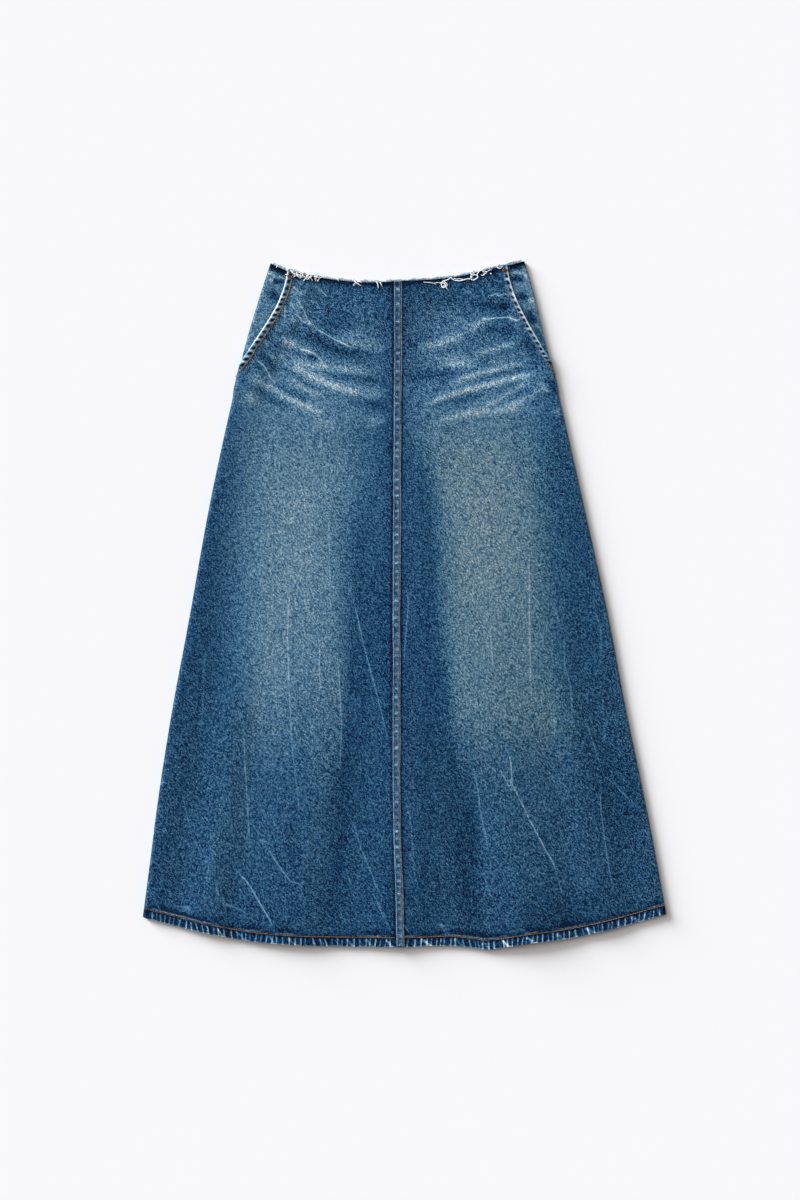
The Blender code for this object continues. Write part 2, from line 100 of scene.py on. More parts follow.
@dataclass(frozen=True)
class Profile:
    """A smooth curve through a few values."""

    at: Row
    value: Row

    def __call__(self, x: Array) -> Array:
        """The curve's height.

        Args:
            x: Where to read the curve; it is flat beyond its ends.

        Returns:
            The values there.
        """
        at, value = np.array(self.at), np.array(self.value)
        order = np.arange(len(at))
        before, after = np.maximum(order - 1, 0), np.minimum(order + 1, order[-1])
        slope = (value[after] - value[before]) / (at[after] - at[before])
        x = np.clip(x, at[0], at[-1])
        i = np.clip(np.searchsorted(at, x, side="right") - 1, 0, len(at) - 2)
        span = at[i + 1] - at[i]
        t = (x - at[i]) / span
        return (
            (2 * t**3 - 3 * t**2 + 1) * value[i]
            + (t**3 - 2 * t**2 + t) * span * slope[i]
            + (3 * t**2 - 2 * t**3) * value[i + 1]
            + (t**3 - t**2) * span * slope[i + 1]
        )


@dataclass(frozen=True)
class Spots:
    """Places on the skirt as laid, in millimetres from its middle."""

    x: Array
    y: Array

    @classmethod
    def of(cls, points: Array) -> "Spots":
        """The places of points in metres."""
        return cls(points[..., 0] / MM, points[..., 1] / MM)


def distance_to_line(at: Spots, points: Line) -> Pair:
    """How far places lie from a line of short straight runs.

    Args:
        at: The places.
        points: The line's corners.

    Returns:
        The distance, positive on the line's left, and the share of the line passed there.
    """
    x, y = at.x, at.y
    best = np.full(x.shape, np.inf)
    signed, passed = np.zeros(x.shape), np.zeros(x.shape)
    steps = [math.dist(a, b) for a, b in zip(points, points[1:])]
    total, gone = sum(steps), 0.0
    for (ax, ay), (bx, by), step in zip(points, points[1:], steps):
        run_x, run_y = (bx - ax) / step, (by - ay) / step
        reach = np.clip((x - ax) * run_x + (y - ay) * run_y, 0, step)
        off_x, off_y = x - ax - reach * run_x, y - ay - reach * run_y
        distance = np.hypot(off_x, off_y)
        nearer = distance < best
        best = np.where(nearer, distance, best)
        sign = np.where(run_x * off_y - run_y * off_x < 0, -1.0, 1.0)
        signed = np.where(nearer, sign * distance, signed)
        passed = np.where(nearer, (gone + reach) / total, passed)
        gone += step
    return signed, passed


@dataclass(frozen=True)
class Stroke:
    """A soft band of tone and relief along a line, in millimetres, used for wear and for painted light and
    shade.

    The band is half_width wide on the line's left and right, and its ends fade over a
    share of its length. tone lightens the cloth, and rise lifts it.
    """

    points: Line
    half_width: tuple[float, float]
    tone: float = 0.0
    rise: float = 0.0
    ends: float = 0.3

    def weight(self, at: Spots) -> Array:
        """How strongly the band lies on each place.

        Args:
            at: The places.

        Returns:
            The strengths, from 0 to 1.
        """
        signed, passed = distance_to_line(at, self.points)
        width = np.where(signed > 0, self.half_width[0], self.half_width[1])
        fading = smooth(np.minimum(passed, 1 - passed) / self.ends)
        return bell(signed / width) * fading


@dataclass(frozen=True)
class Fade:
    """A patch of paler or darker cloth, in millimetres, mostly rubbed and in a few places painted
    light and shade: an upright oval whose flanks differ.

    lean moves the patch sideways by a share of the height above its middle.
    """

    centre: Point
    inner: float
    outer: float
    above: float
    below: float
    tone: float
    lean: float = 0.0

    def weight(self, at: Spots) -> Array:
        """How strongly the patch lies on each place.

        Args:
            at: The places.

        Returns:
            The strengths, from 0 to 1.
        """
        up = at.y - self.centre[1]
        aside = (at.x - self.centre[0] - self.lean * up) * np.sign(self.centre[0])
        wide = aside / np.where(aside < 0, self.inner, self.outer)
        return bell(wide) * bell(up / np.where(up < 0, self.below, self.above))


@dataclass(frozen=True)
class Band:
    """A soft band along an edge, in millimetres from it, for wear and for painted light and shade."""

    at: float
    width: float
    tone: float

    def __call__(self, distance: Array) -> Array:
        """What the band adds to the tone at each distance from the edge."""
        return self.tone * bell((distance - self.at) / self.width)


def all_bands(bands: Sequence[Band], distance: Array) -> Array:
    """What several bands add to the tone at each distance from their edge."""
    return sum(band(distance) for band in bands)


# ---- the form of the skirt ----


@dataclass(frozen=True)
class Roll:
    """A soft roll of the front where the flare stands up, by shares of the half width."""

    side: Side
    crest_start: float
    crest_hem: float
    inner: float
    outer: float
    height: float


@dataclass(frozen=True)
class SkirtForm:
    """The flattened tube that every piece of cloth lies on, in metres.

    A place on it is a distance from the centre line along the cloth, negative towards the
    wearer's right, and a share of the way down from the waist to the hem. Profiles read
    shares of the way down, or of the half width for the waist and hem lines. A bulge is
    its height, its flat middle and its soft rim.
    """

    cloth: float = 0.0012
    gap: float = 0.0003
    fray: float = 0.003
    hem_depth: float = 0.0145
    hem_thick: float = 0.0028
    length: float = 0.949
    turned_cloth: float = 0.001
    fell_width: float = 0.012
    facing_under: float = 0.026
    facing_end: float = 0.188
    edge_zone: float = 0.03
    stations: Row = (0.0, 0.055, 0.13, 0.21, 0.36, 0.52, 0.67, 0.82, 1.0)
    half_right: Row = (0.1798, 0.1966, 0.2174, 0.2347, 0.264, 0.2908, 0.3164, 0.34, 0.3664)
    half_left: Row = (0.1802, 0.195, 0.2118, 0.2308, 0.2636, 0.2972, 0.3246, 0.3524, 0.3796)
    rest: Row = (0.0056, 0.0056, 0.0052, 0.0046, 0.004, 0.004, 0.0044, 0.0052, 0.007)
    fold: Row = (0.0066, 0.007, 0.0074, 0.0076) + (0.0078,) * 4 + (0.008,)
    fold_reach: float = 0.06
    centre_line: Profile = Profile(
        (0.0, 0.15, 0.3, 0.45, 0.57, 0.69, 0.81, 0.92, 1.0),
        (-0.0102, -0.0101, -0.0112, -0.012, -0.0118, -0.0124, -0.0113, -0.0084, -0.0066),
    )
    waist_line: Profile = Profile(
        (-1.0, -0.85, -0.65, -0.4, -0.15, 0.0, 0.25, 0.5, 0.7, 1.0),
        (0.4912, 0.48, 0.4722, 0.466, 0.4638, 0.4656, 0.468, 0.4735, 0.4817, 0.4943),
    )
    hem_line: Profile = Profile(
        (-1.0, -0.8, -0.6, -0.4, -0.2, 0.0, 0.2, 0.27, 0.33, 0.41, 0.5, 0.65, 0.8, 1.0),
        (-0.4435, -0.462, -0.4766, -0.483, -0.485, -0.4855, -0.4842)
        + (-0.4868, -0.4893, -0.485, -0.4798, -0.4723, -0.4597, -0.439),
    )
    mouth: Profile = Profile(
        (0.0, 0.028, 0.052, 0.072, 0.092, 0.11, 0.128, 0.146, 0.164),
        (0.0262, 0.0287, 0.0276, 0.0242, 0.0196, 0.0148, 0.0096, 0.0044, 0.0),
    )
    back_waist_drop: float = 0.004
    back_hem_rise: float = 0.0045
    roll_start: float = 0.34
    rolls: tuple[Roll, ...] = (
        Roll(Side.RIGHT, 0.3, 0.41, 0.17, 0.3, 0.0045),
        Roll(Side.LEFT, 0.36, 0.5, 0.22, 0.28, 0.007),
        Roll(Side.RIGHT, 0.7, 0.76, 0.13, 0.15, 0.0045),
        Roll(Side.LEFT, 0.76, 0.79, 0.13, 0.14, 0.004),
        Roll(Side.RIGHT, 0.0, 0.0, 0.16, 0.18, 0.0025),
        Roll(Side.LEFT, 0.0, 0.0, 0.16, 0.16, 0.0025),
    )
    slider_down: float = 0.0186
    pull_length: float = 0.02
    slider_half: float = 0.006
    back_bulge: tuple[float, float, float] = (0.0022, 0.006, 0.022)
    front_bulge: tuple[float, float, float] = (0.0026, 0.01, 0.06)
    lift_clear: float = 0.004
    lift_reach: float = 0.018
    lift_end: float = 0.02

    @property
    def top(self) -> float:
        """The share of the way down where the panels start, under the fray."""
        return self.fray / self.length

    @property
    def hem_top(self) -> float:
        """The share of the way down where the hem starts."""
        return 1 - self.hem_depth / self.length

    @property
    def gap_down(self) -> float:
        """The gap between two pieces, as a share of the way down."""
        return self.gap / self.length

    @property
    def slider_at(self) -> float:
        """The share of the way down of the zip slider's middle."""
        return self.top + self.slider_down / self.length

    def below_waist(self, down: Array) -> Array:
        """Millimetres below the top of the panels."""
        return (down - self.top) * self.length / MM

    def half_width(self, side: Array, down: Array) -> Array:
        """Half of the laid skirt's width on each side."""
        right, left = (Profile(self.stations, half)(down) for half in (self.half_right, self.half_left))
        return np.where(side < 0, right, left)

    def fold_height(self, down: Array) -> Array:
        """The height of the side fold."""
        return Profile(self.stations, self.fold)(down)

    def arc_length(self, down: Array) -> Array:
        """Length round the outside of the side fold, from its top to the side seam."""
        return math.pi / 4 * self.fold_height(down)

    def seam_at(self, side: Array, down: Array) -> Array:
        """Distance from the centre line to the side seam, along the cloth."""
        flat = self.half_width(side, down) - self.fold_height(down) / 2
        return flat + self.arc_length(down)

    def mouth_inset(self, down: Array) -> Array:
        """How far the front panel's edge lies in from the side seam."""
        return np.where(down < self.mouth.at[-1], np.maximum(self.mouth(down), 0), 0)

    def height_along(self, across: Array, down: Array, back: bool) -> Array:
        """Y of a place, between the waist line and the hem line.

        Args:
            across: Shares of the half width, negative towards the wearer's right.
            down: Shares of the way down.
            back: Whether the place is on the back layer.

        Returns:
            Y in metres.
        """
        top, bottom = self.waist_line(across), self.hem_line(across)
        if back:
            top = top - self.back_waist_drop * (1 - across**2)
            bottom = bottom + self.back_hem_rise * (1 - across**2)
        return top + (bottom - top) * down

    def under(self, x: Array, y: Array) -> Pair:
        """The place on the front's flat that lies under a point of the table.

        Args:
            x: The points' x in metres.
            y: The points' y in metres.

        Returns:
            Distances from the centre line, and shares of the way down.
        """
        down = 0.5 - y / self.length
        for _ in range(3):
            along = x - self.centre_line(down)
            across = np.clip(along / self.half_width(along, down), -1, 1)
            top, bottom = self.waist_line(across), self.hem_line(across)
            down = (top - y) / (top - bottom)
        return along, down

    def rolls_height(self, side: Array, across: Array, down: Array) -> Array:
        """How far the rolls lift the front.

        Args:
            side: -1 or 1 for the wearer's right or left.
            across: Shares of the half width, from 0 to 1.
            down: Shares of the way down.

        Returns:
            The lift in metres.
        """
        grown = smooth((down - self.roll_start) / (1 - self.roll_start))
        lift = np.zeros(np.broadcast(across, down).shape)
        for roll in self.rolls:
            crest = roll.crest_start + (roll.crest_hem - roll.crest_start) * grown
            reach = np.where(across < crest, roll.inner, roll.outer)
            share = np.minimum(1.0, np.abs(across - crest) / reach)
            height = roll.height * grown * (1 + np.cos(math.pi * share)) / 2
            lift = lift + np.where(side == roll.side.value, height, 0)
        return lift

    def bulge(self, away: Array, down: Array, end: float, form: tuple[float, float, float]) -> Array:
        """How far the cloth stands off over the slider, whose lower end is given in metres."""
        past = np.maximum(0.0, down - self.slider_at - end / self.length) * self.length
        return form[0] * (1 - smooth((np.hypot(away, past) - form[1]) / form[2]))

    def pocket_lift(self, side: Array, away: Array, down: Array) -> Array:
        """The front panel's lift over the pocket facing.

        Args:
            side: -1 or 1 for the wearer's right or left.
            away: Distances from the centre line.
            down: Shares of the way down.

        Returns:
            The lift in metres.
        """
        mouth = self.mouth_inset(np.minimum(down, self.mouth.at[-1]))
        inner = self.seam_at(side, down) - mouth - self.facing_under
        beside = smooth((inner - self.lift_clear - away) / self.lift_reach)
        below = smooth((down - self.facing_end - self.lift_clear) / self.lift_end)
        return (self.cloth + self.gap) * (1 - beside) * (1 - below)

    def outer(self, layer: Layer, along: Array, down: Array) -> Array:
        """Points of the cloth's outer face.

        Args:
            layer: The layer of the skirt.
            along: Distances from the centre line.
            down: Shares of the way down.

        Returns:
            The points.
        """
        side, away = np.where(along < 0, -1.0, 1.0), np.abs(along)
        radius = self.fold_height(down) / 2
        half = self.half_width(side, down)
        flat = half - radius
        turn = np.maximum(0.0, (away - flat) / radius)
        out = np.minimum(away, flat) + radius * np.sin(turn)
        back = layer is Layer.BACK
        if back:
            arch = self.bulge(away, down, self.pull_length + self.slider_half, self.back_bulge)
            high = np.where(turn > 0, 0, arch) + radius * (1 - np.cos(turn))
        else:
            to_fold = smooth(1 - (flat - away) / self.fold_reach)
            rest = Profile(self.stations, self.rest)(down)
            high = rest + (2 * radius - rest) * to_fold
            high = high + self.rolls_height(side, np.minimum(1, away / flat), down) * (1 - to_fold)
            high = high + self.bulge(away, down, self.slider_half, self.front_bulge)
            high = high - radius * (1 - np.cos(turn))
        across = side * np.minimum(1.0, out / half)
        centre = self.centre_line(down)
        return np.stack([centre + side * out, self.height_along(across, down, back), high], axis=-1)

    def point(self, layer: Layer, along: Array, down: Array, depth: Array) -> Array:
        """Points at a depth under the cloth's outer face; a negative depth is above it.

        Args:
            layer: The layer of the skirt.
            along: Distances from the centre line.
            down: Shares of the way down.
            depth: Depths in metres.

        Returns:
            The points.
        """
        step, small = 0.0004, 0.0008
        along, down, depth = np.broadcast_arrays(along, down, depth)
        base = self.outer(layer, along, down)
        run = self.outer(layer, along + step, down) - self.outer(layer, along - step, down)
        near_centre = np.abs(along) <= step
        run[near_centre] = (1.0, 0.0, 0.0)
        fall = self.outer(layer, along, down + small) - self.outer(layer, along, down - small)
        normal = np.cross(run, -fall)
        normal /= np.linalg.norm(normal, axis=-1, keepdims=True)
        if layer is Layer.BACK:
            normal = -normal
        if layer is Layer.FRONT:
            side = np.where(along < 0, -1.0, 1.0)
            depth = depth - self.pocket_lift(side, np.abs(along), down)
        return base - normal * depth[..., None]


FORM = SkirtForm()


# ---- wear, painted light and shade, and fine relief ----


@dataclass(frozen=True)
class RubbedArea:
    """A long rubbed area, in millimetres, by rows from its bottom to its top.

    A row holds its y, where the area starts and how softly, where it ends and how softly,
    and its tone.
    """

    rows: tuple[Row, ...]

    def tone(self, at: Spots) -> Array:
        """How much paler the area makes each place.

        Args:
            at: The places.

        Returns:
            The change of tone.
        """
        heights, *columns = zip(*self.rows)
        start, start_soft, end, end_soft, tone = (Profile(heights, column)(at.y) for column in columns)
        past_start, before_end = (at.x - start) / start_soft, (end - at.x) / end_soft
        return tone / (1 + np.exp(-past_start)) / (1 + np.exp(-before_end))


RIGHT_THIGH = RubbedArea(
    rows=(
        (-450, -285, 16, -150, 16, 0.0),
        (-330, -268, 14, -150, 15, 0.035),
        (-250, -242, 14, -104, 8, 0.055),
        (-210, -230, 12, -92, 5, 0.09),
        (-170, -222, 11, -87, 4, 0.13),
        (-130, -216, 10, -84, 4, 0.17),
        (-90, -213, 10, -82, 6, 0.2),
        (-10, -214, 13, -80, 12, 0.23),
        (70, -214, 15, -82, 15, 0.245),
        (150, -214, 16, -74, 16, 0.245),
        (230, -218, 16, -62, 15, 0.215),
        (330, -228, 16, -36, 16, 0.18),
        (385, -228, 16, -30, 16, 0.075),
    )
)
LEFT_THIGH = RubbedArea(
    rows=(
        (-450, 106, 10, 300, 40, 0.0),
        (-400, 104, 10, 290, 40, 0.025),
        (-310, 100, 9, 262, 30, 0.045),
        (-250, 88, 8, 240, 18, 0.065),
        (-210, 77, 7, 236, 15, 0.105),
        (-170, 69, 4, 230, 13, 0.16),
        (-130, 66, 4, 222, 13, 0.195),
        (-90, 62, 5, 214, 13, 0.2),
        (-50, 57, 6, 210, 13, 0.215),
        (30, 52, 10, 203, 13, 0.24),
        (110, 49, 10, 198, 13, 0.245),
        (190, 36, 9, 190, 14, 0.24),
        (250, 16, 12, 192, 15, 0.215),
        (330, 8, 14, 205, 14, 0.155),
        (385, 10, 14, 215, 12, 0.06),
    )
)


# The broad soft fades, and a few darker places with a tone below 0; two of them are painted
# light and shade that offset the rolls' lighting.
FADES_AND_SHADE: tuple[Fade, ...] = (
    Fade((-142, 90), 32, 34, 210, 190, 0.04),
    Fade((110, 90), 40, 40, 220, 190, 0.03),
    Fade((-244, 120), 26, 22, 190, 190, 0.075, lean=0.1),
    Fade((-256, -330), 26, 16, 110, 110, 0.05, lean=0.14),
    Fade((-300, -200), 60, 60, 200, 260, 0.025),
    Fade((-28, -250), 22, 28, 130, 130, 0.04),
    Fade((-222, 60), 44, 30, 230, 230, 0.085, lean=0.04),
    Fade((-35, 140), 40, 30, 110, 100, 0.055),
    Fade((-208, -110), 34, 30, 100, 90, 0.07),
    Fade((-50, 290), 44, 44, 34, 30, 0.035),
    Fade((-78, 178), 24, 30, 40, 40, 0.045),
    Fade((-186, 335), 5, 5, 9, 9, -0.08),
    Fade((95, 370), 60, 50, 34, 34, 0.035),
    # Painted light on the shaded flank of the roll on the wearer's right, and painted shade on the lit
    # flank of the roll on the wearer's left.
    Fade((-120, -290), 20, 16, 130, 170, 0.07, lean=0.06),
    Fade((94, -330), 16, 14, 110, 150, -0.075, lean=-0.05),
    Fade((10, 100), 16, 16, 280, 300, 0.045),
    Fade((8, -300), 12, 12, 150, 180, 0.035),
    Fade((68, 351), 30, 26, 10, 11, 0.11),
    Fade((70, 400), 60, 34, 26, 22, 0.12),
    Fade((-70, 385), 40, 45, 26, 22, 0.07),
    Fade((-160, 440), 26, 26, 30, 34, 0.11),
    Fade((-168, 405), 20, 20, 40, 24, 0.06),
    Fade((90, 432), 60, 50, 22, 20, -0.035),
    Fade((118, 470), 20, 20, 10, 10, -0.06),
    Fade((300, -290), 40, 40, 90, 80, -0.025),
    Fade((210, -440), 60, 70, 24, 40, -0.05),
)
# The pale whiskers that fan over the hips.
WHISKERS: tuple[Stroke, ...] = (
    Stroke(((-186, 384), (-145, 367), (-122, 355)), (6, 5), 0.22, 0.4),
    Stroke(((-200, 352), (-180, 354), (-160, 360)), (6, 5), 0.12, 0.2),
    Stroke(((-184, 350), (-28, 331)), (5.5, 5.5), 0.22),
    Stroke(((-170, 346), (-109, 316.5), (-73, 306), (-50, 303)), (5.5, 5.5), 0.25, 0.4, 0.2),
    Stroke(((-166, 327), (-140, 309), (-109, 298)), (5, 5), 0.16, 0.2, 0.2),
    Stroke(((-62, 303), (-28, 300)), (7, 7), 0.14),
    Stroke(((-228, 331), (-206, 321), (-163, 294), (-132, 281), (-106, 272.5)), (5, 5), 0.21, 0.5, 0.2),
    Stroke(((-130, 264), (-92, 252)), (9, 9), 0.11),
    Stroke(((-58, 262), (-40, 263), (-22, 268)), (8, 8), 0.12),
    Stroke(((-104, 382), (-34, 367)), (6, 8), 0.15, 0.2),
    Stroke(((-90, 390), (-65, 385), (-42, 376)), (5, 5), 0.08),
    Stroke(((-172, 408), (-150, 411), (-118, 390)), (5, 5), 0.13, 0.3),
    Stroke(((-178, 373), (-158, 377)), (9, 8), 0.1),
    Stroke(((-166, 330), (-160, 318)), (6, 6), 0.08),
    Stroke(((-48, 378), (-26, 362)), (7, 7), 0.11),
    Stroke(((-240, 300), (-222, 294), (-205, 296)), (9, 9), 0.12),
    Stroke(((14, 366), (58, 376), (74, 382), (89, 391)), (6, 6), 0.24, 0.2),
    Stroke(((82, 387), (115, 406), (136, 409)), (6, 5), 0.2, 0.2),
    Stroke(((146, 410), (158, 408), (166, 404)), (3.5, 3.5), 0.18),
    Stroke(((40, 346), (62, 344), (90, 345), (112, 356)), (7, 7), 0.14),
    Stroke(((94, 357), (152, 374), (170, 377)), (5, 5), 0.22, 0.4),
    Stroke(((56, 315), (108, 330.5), (182, 349.5)), (4, 4), 0.23, 0.4, 0.2),
    Stroke(((22, 285), (81, 305), (199, 334.5)), (5, 4), 0.26, 0.5, 0.2),
    Stroke(((100, 276), (155, 306), (190, 328)), (3.5, 3), 0.2, 0.2),
    Stroke(((41, 259), (79, 272), (98, 275), (136, 277), (184, 287)), (4.5, 5), 0.19, 0.5, 0.2),
    Stroke(((127, 278), (170, 294), (203, 311), (212, 319)), (4, 4), 0.16, 0.2),
    Stroke(((108, 345), (162, 359), (178, 366)), (3.5, 3.5), 0.14),
    Stroke(((192, 322), (206, 298)), (5, 6), 0.16),
    Stroke(((206, 280), (217, 277), (226, 272)), (8, 8), 0.14),
)
# The dark hollows between the whiskers, sunk a little: their darkness is partly unworn dye
# and partly painted shade.
SHADES: tuple[Stroke, ...] = (
    Stroke(((-150, 393), (-112, 371), (-88, 363), (-66, 358), (-36, 354)), (7, 7), -0.19, -0.4),
    Stroke(((-140, 357), (-131, 354), (-124, 348)), (3.5, 3.5), -0.2, -0.2),
    Stroke(((-118, 402), (-90, 398)), (6, 6), -0.07),
    Stroke(((-210, 362), (-197, 352), (-186, 338)), (6, 6), -0.18, -0.4),
    Stroke(((-218, 342), (-198, 338)), (3, 3), -0.15, -0.2),
    Stroke(((-168, 335), (-135, 312), (-116, 301)), (3.2, 3.2), -0.13, -0.3),
    Stroke(((-220, 312), (-178, 289), (-156, 282)), (5, 5), -0.13, -0.3),
    Stroke(((-118, 335), (-95, 328), (-20, 319)), (4.5, 5), -0.14, -0.2),
    Stroke(((-90, 294), (-20, 284)), (6, 6), -0.15, -0.2),
    Stroke(((-128, 414), (-60, 400)), (14, 12), -0.07),
    Stroke(((-186, 317), (-168, 306), (-132, 292)), (4, 4), -0.15, -0.2),
    Stroke(((-176, 400), (-158, 392), (-146, 398)), (6, 6), -0.06),
    Stroke(((-8, 330), (40, 328), (90, 335)), (9, 8), -0.12, -0.2),
    Stroke(((32, 285), (125, 302)), (4.5, 5), -0.14, -0.3),
    Stroke(((98, 321), (194, 342)), (2.8, 2.8), -0.09, -0.2),
    Stroke(((92, 345), (178, 361)), (4, 4), -0.08, -0.2),
    Stroke(((203, 328), (216, 302)), (4, 5), -0.15, -0.3),
    Stroke(((136, 430), (150, 425)), (7, 8), -0.12),
    Stroke(((46, 408), (72, 404)), (7, 7), -0.08),
    Stroke(((166, 388), (180, 370), (192, 350)), (7, 8), -0.12, -0.3),
    Stroke(((100, 431), (154, 423)), (6, 6), -0.14, -0.3),
    Stroke(((108, 400), (135, 392), (162, 388)), (7, 7), -0.1, -0.2),
    Stroke(((118, 291), (150, 299), (180, 310)), (3, 3), -0.07),
    Stroke(((46, 249), (104, 262)), (4, 4), -0.05),
)
# The long soft folds below the thighs: painted shade along their valleys and a painted
# highlight along a few raised ridges.
FOLD_SHADING: tuple[Stroke, ...] = (
    Stroke(((-78, -150), (-88, -300), (-96, -380), (-108, -470)), (10, 12), -0.05, 0.0, 0.15),
    Stroke(((24, 215), (36, 120), (44, 30), (48, -60)), (3, 22), -0.03, 0.0, 0.15),
    Stroke(((60, -180), (74, -260), (88, -400), (92, -470)), (7, 11), -0.045, 0.0, 0.15),
    Stroke(((62, -220), (72, -260), (88, -350), (95, -400), (101, -470)), (2.2, 2.2), 0.05, 0.5, 0.15),
    Stroke(((-58, 180), (-68, -60), (-76, -140)), (14, 16), -0.03, 0.0, 0.2),
    Stroke(((258, -160), (300, -240), (330, -330)), (20, 30), -0.03, 0.0, 0.2),
    Stroke(((-270, -310), (-285, -430)), (5, 5), 0.06, 0.5, 0.3),
    Stroke(((-133, -300), (-148, -462)), (5, 6), 0.03, 0.4, 0.3),
)
# The fine creases by their strength, pale along their ridges partly as wear and partly as painted
# highlight: at the pocket mouths, over the hem and down the thighs.
CREASE_LINES: dict[float, tuple[Line, ...]] = {
    0.46: (
        ((-139.5, -153), (-125, -191), (-116, -210)),
        ((-108.5, 137), (-106, 37), (-106, -10)),
        ((-284.5, -58), (-286, -120), (-289, -167), (-293, -205)),
        ((206, 10), (216, -8), (220, -26)),
        ((281, -115), (286, -200)),
    ),
    0.57: (
        ((-186, 400), (-178, 392), (-172, 390)),
        ((61, 422), (65, 416), (67, 410)),
        ((-205, -331), (-193, -337), (-186, -344)),
        ((-83, -378), (-75, -400)),
        ((-315.5, -272), (-301, -334)),
        ((-188, -305), (-178, -322)),
        ((-356, -418), (-346, -436)),
        ((-333, -418), (-324, -434)),
        ((-236, -400), (-225, -420)),
        ((-1.5, -267), (8, -300), (13.5, -362), (15, -400)),
        ((5, -350), (10, -360), (16, -368)),
        ((255, -153), (276.5, -220), (279, -239)),
        ((261, -296), (270, -308), (277, -322)),
        ((213, -158), (214, -172), (213, -188)),
        ((109, -372), (116, -392), (122, -414)),
        ((-120.5, -48), (-121.5, -86), (-119, -125)),
        ((-167, 80), (-163, 47), (-167, -48), (-161, -191), (-156, -239), (-152, -267), (-144, -358)),
        ((229, -20), (227.5, -58), (228, -86), (236, -110), (238.5, -144), (240, -186)),
        ((122, -29), (126.5, -96)),
        ((269, -1), (279, -29), (280, -48), (279, -91)),
    ),
    0.65: (
        ((-330, -425), (-318, -429), (-308, -427), (-300, -435)),
        ((-322, -437), (-312, -434), (-303, -441)),
        ((-163, 452), (-156, 444), (-150, 440)),
        ((-98, 450), (-94, 446), (-88, 443)),
        ((150, 414), (154, 420), (158, 424)),
        ((116, -222), (131, -237)),
        ((176.5, 80), (178, 37), (178, -10), (180, -106), (181.5, -139)),
    ),
    0.73: (
        ((119, -407.5), (125.5, -414.5)),
        ((166, -458.5), (176.5, -467)),
        ((4, -426.5), (12.5, -443)),
        ((109, 451), (114, 439)),
        ((-213, -328), (-205, -334), (-196, -345), (-188, -353)),
        ((-230, -153), (-228.5, -200), (-221, -329), (-221, -362)),
        ((215, -374), (222, -402), (226, -414)),
        ((279, -239), (298, -253), (336, -291)),
        ((49, -452), (57, -464), (66, -473)),
        ((-97, -58), (-93.5, -96), (-89.5, -172), (-93, -243)),
    ),
    0.8: (
        ((-2, -453), (11, -470)),
        ((-164, 436), (-147, 407), (-131, 397)),
        ((-170, 430), (-171, 402), (-160, 390)),
        ((82, 453), (89, 446), (95, 442)),
        ((-79, -298), (-72, -312), (-62, -345), (-48, -378), (-43, -392), (-37, -406), (-28, -418)),
        ((-50, -403), (-40, -418), (-32, -438), (-26, -450), (-17, -464)),
        ((-320, -429), (-309, -428), (-299, -438)),
        ((136, -234), (150, -258), (159, -267)),
        ((96, -220), (105, -262), (107.5, -291), (115, -324), (121, -357)),
        ((279, -239), (279, -286), (288.5, -358), (295.5, -396), (298, -415)),
    ),
    0.87: (
        ((49.5, -450), (58, -457.5), (65, -470)),
        ((-161, 458), (-154, 450), (-146, 444), (-139, 441)),
        ((-200, 380), (-197, 375), (-195, 369)),
        ((104, 418), (109, 411), (113, 403)),
        ((-80, 30), (-68, -10), (-60, -48), (-37, -134), (-28, -172), (-21.5, -205)),
        ((3, 30), (5.5, 0), (1, -50), (-0.5, -85)),
    ),
    0.95: (
        ((-128, 460), (-122, 452), (-116, 447), (-112, 442), (-106, 439)),
        ((92, 451), (96, 443), (101, 439)),
        ((-199, -339), (-182, -365), (-163, -391), (-148, -396), (-135, -395)),
        ((-264, -414), (-252, -424), (-220, -439)),
    ),
    1.1: (
        ((-157, 440), (-151, 434), (-142, 418), (-139, 410), (-133, 402), (-126, 395)),
        ((-150, 367), (-136, 363), (-126, 358), (-120, 352), (-117, 346), (-112, 340)),
        ((-269, -397), (-264, -412), (-259, -422), (-254, -428)),
    ),
    1.2: (
        ((-133, 402), (-126, 395), (-100, 380), (-70, 366)),
        ((147, -203), (151.5, -224), (153, -253), (179, -305)),
    ),
    1.32: (
        ((-212, 357), (-208, 348), (-202, 344), (-198, 339), (-191, 325), (-184, 317)),
        ((116, 443), (124, 442), (131, 445), (135, 441), (139, 444), (146, 444), (151, 441)),
        ((106, 412), (118, 408), (128, 410), (148, 411), (160, 406), (167, 412)),
        ((-242, -373), (-235, -382), (-228, -388), (-220, -399), (-192, -446), (-184, -464)),
        ((160, -266), (180, -308), (203, -351), (210, -362), (215, -374), (218, -390)),
    ),
}
CREASES = tuple((strength, line) for strength, lines in CREASE_LINES.items() for line in lines)


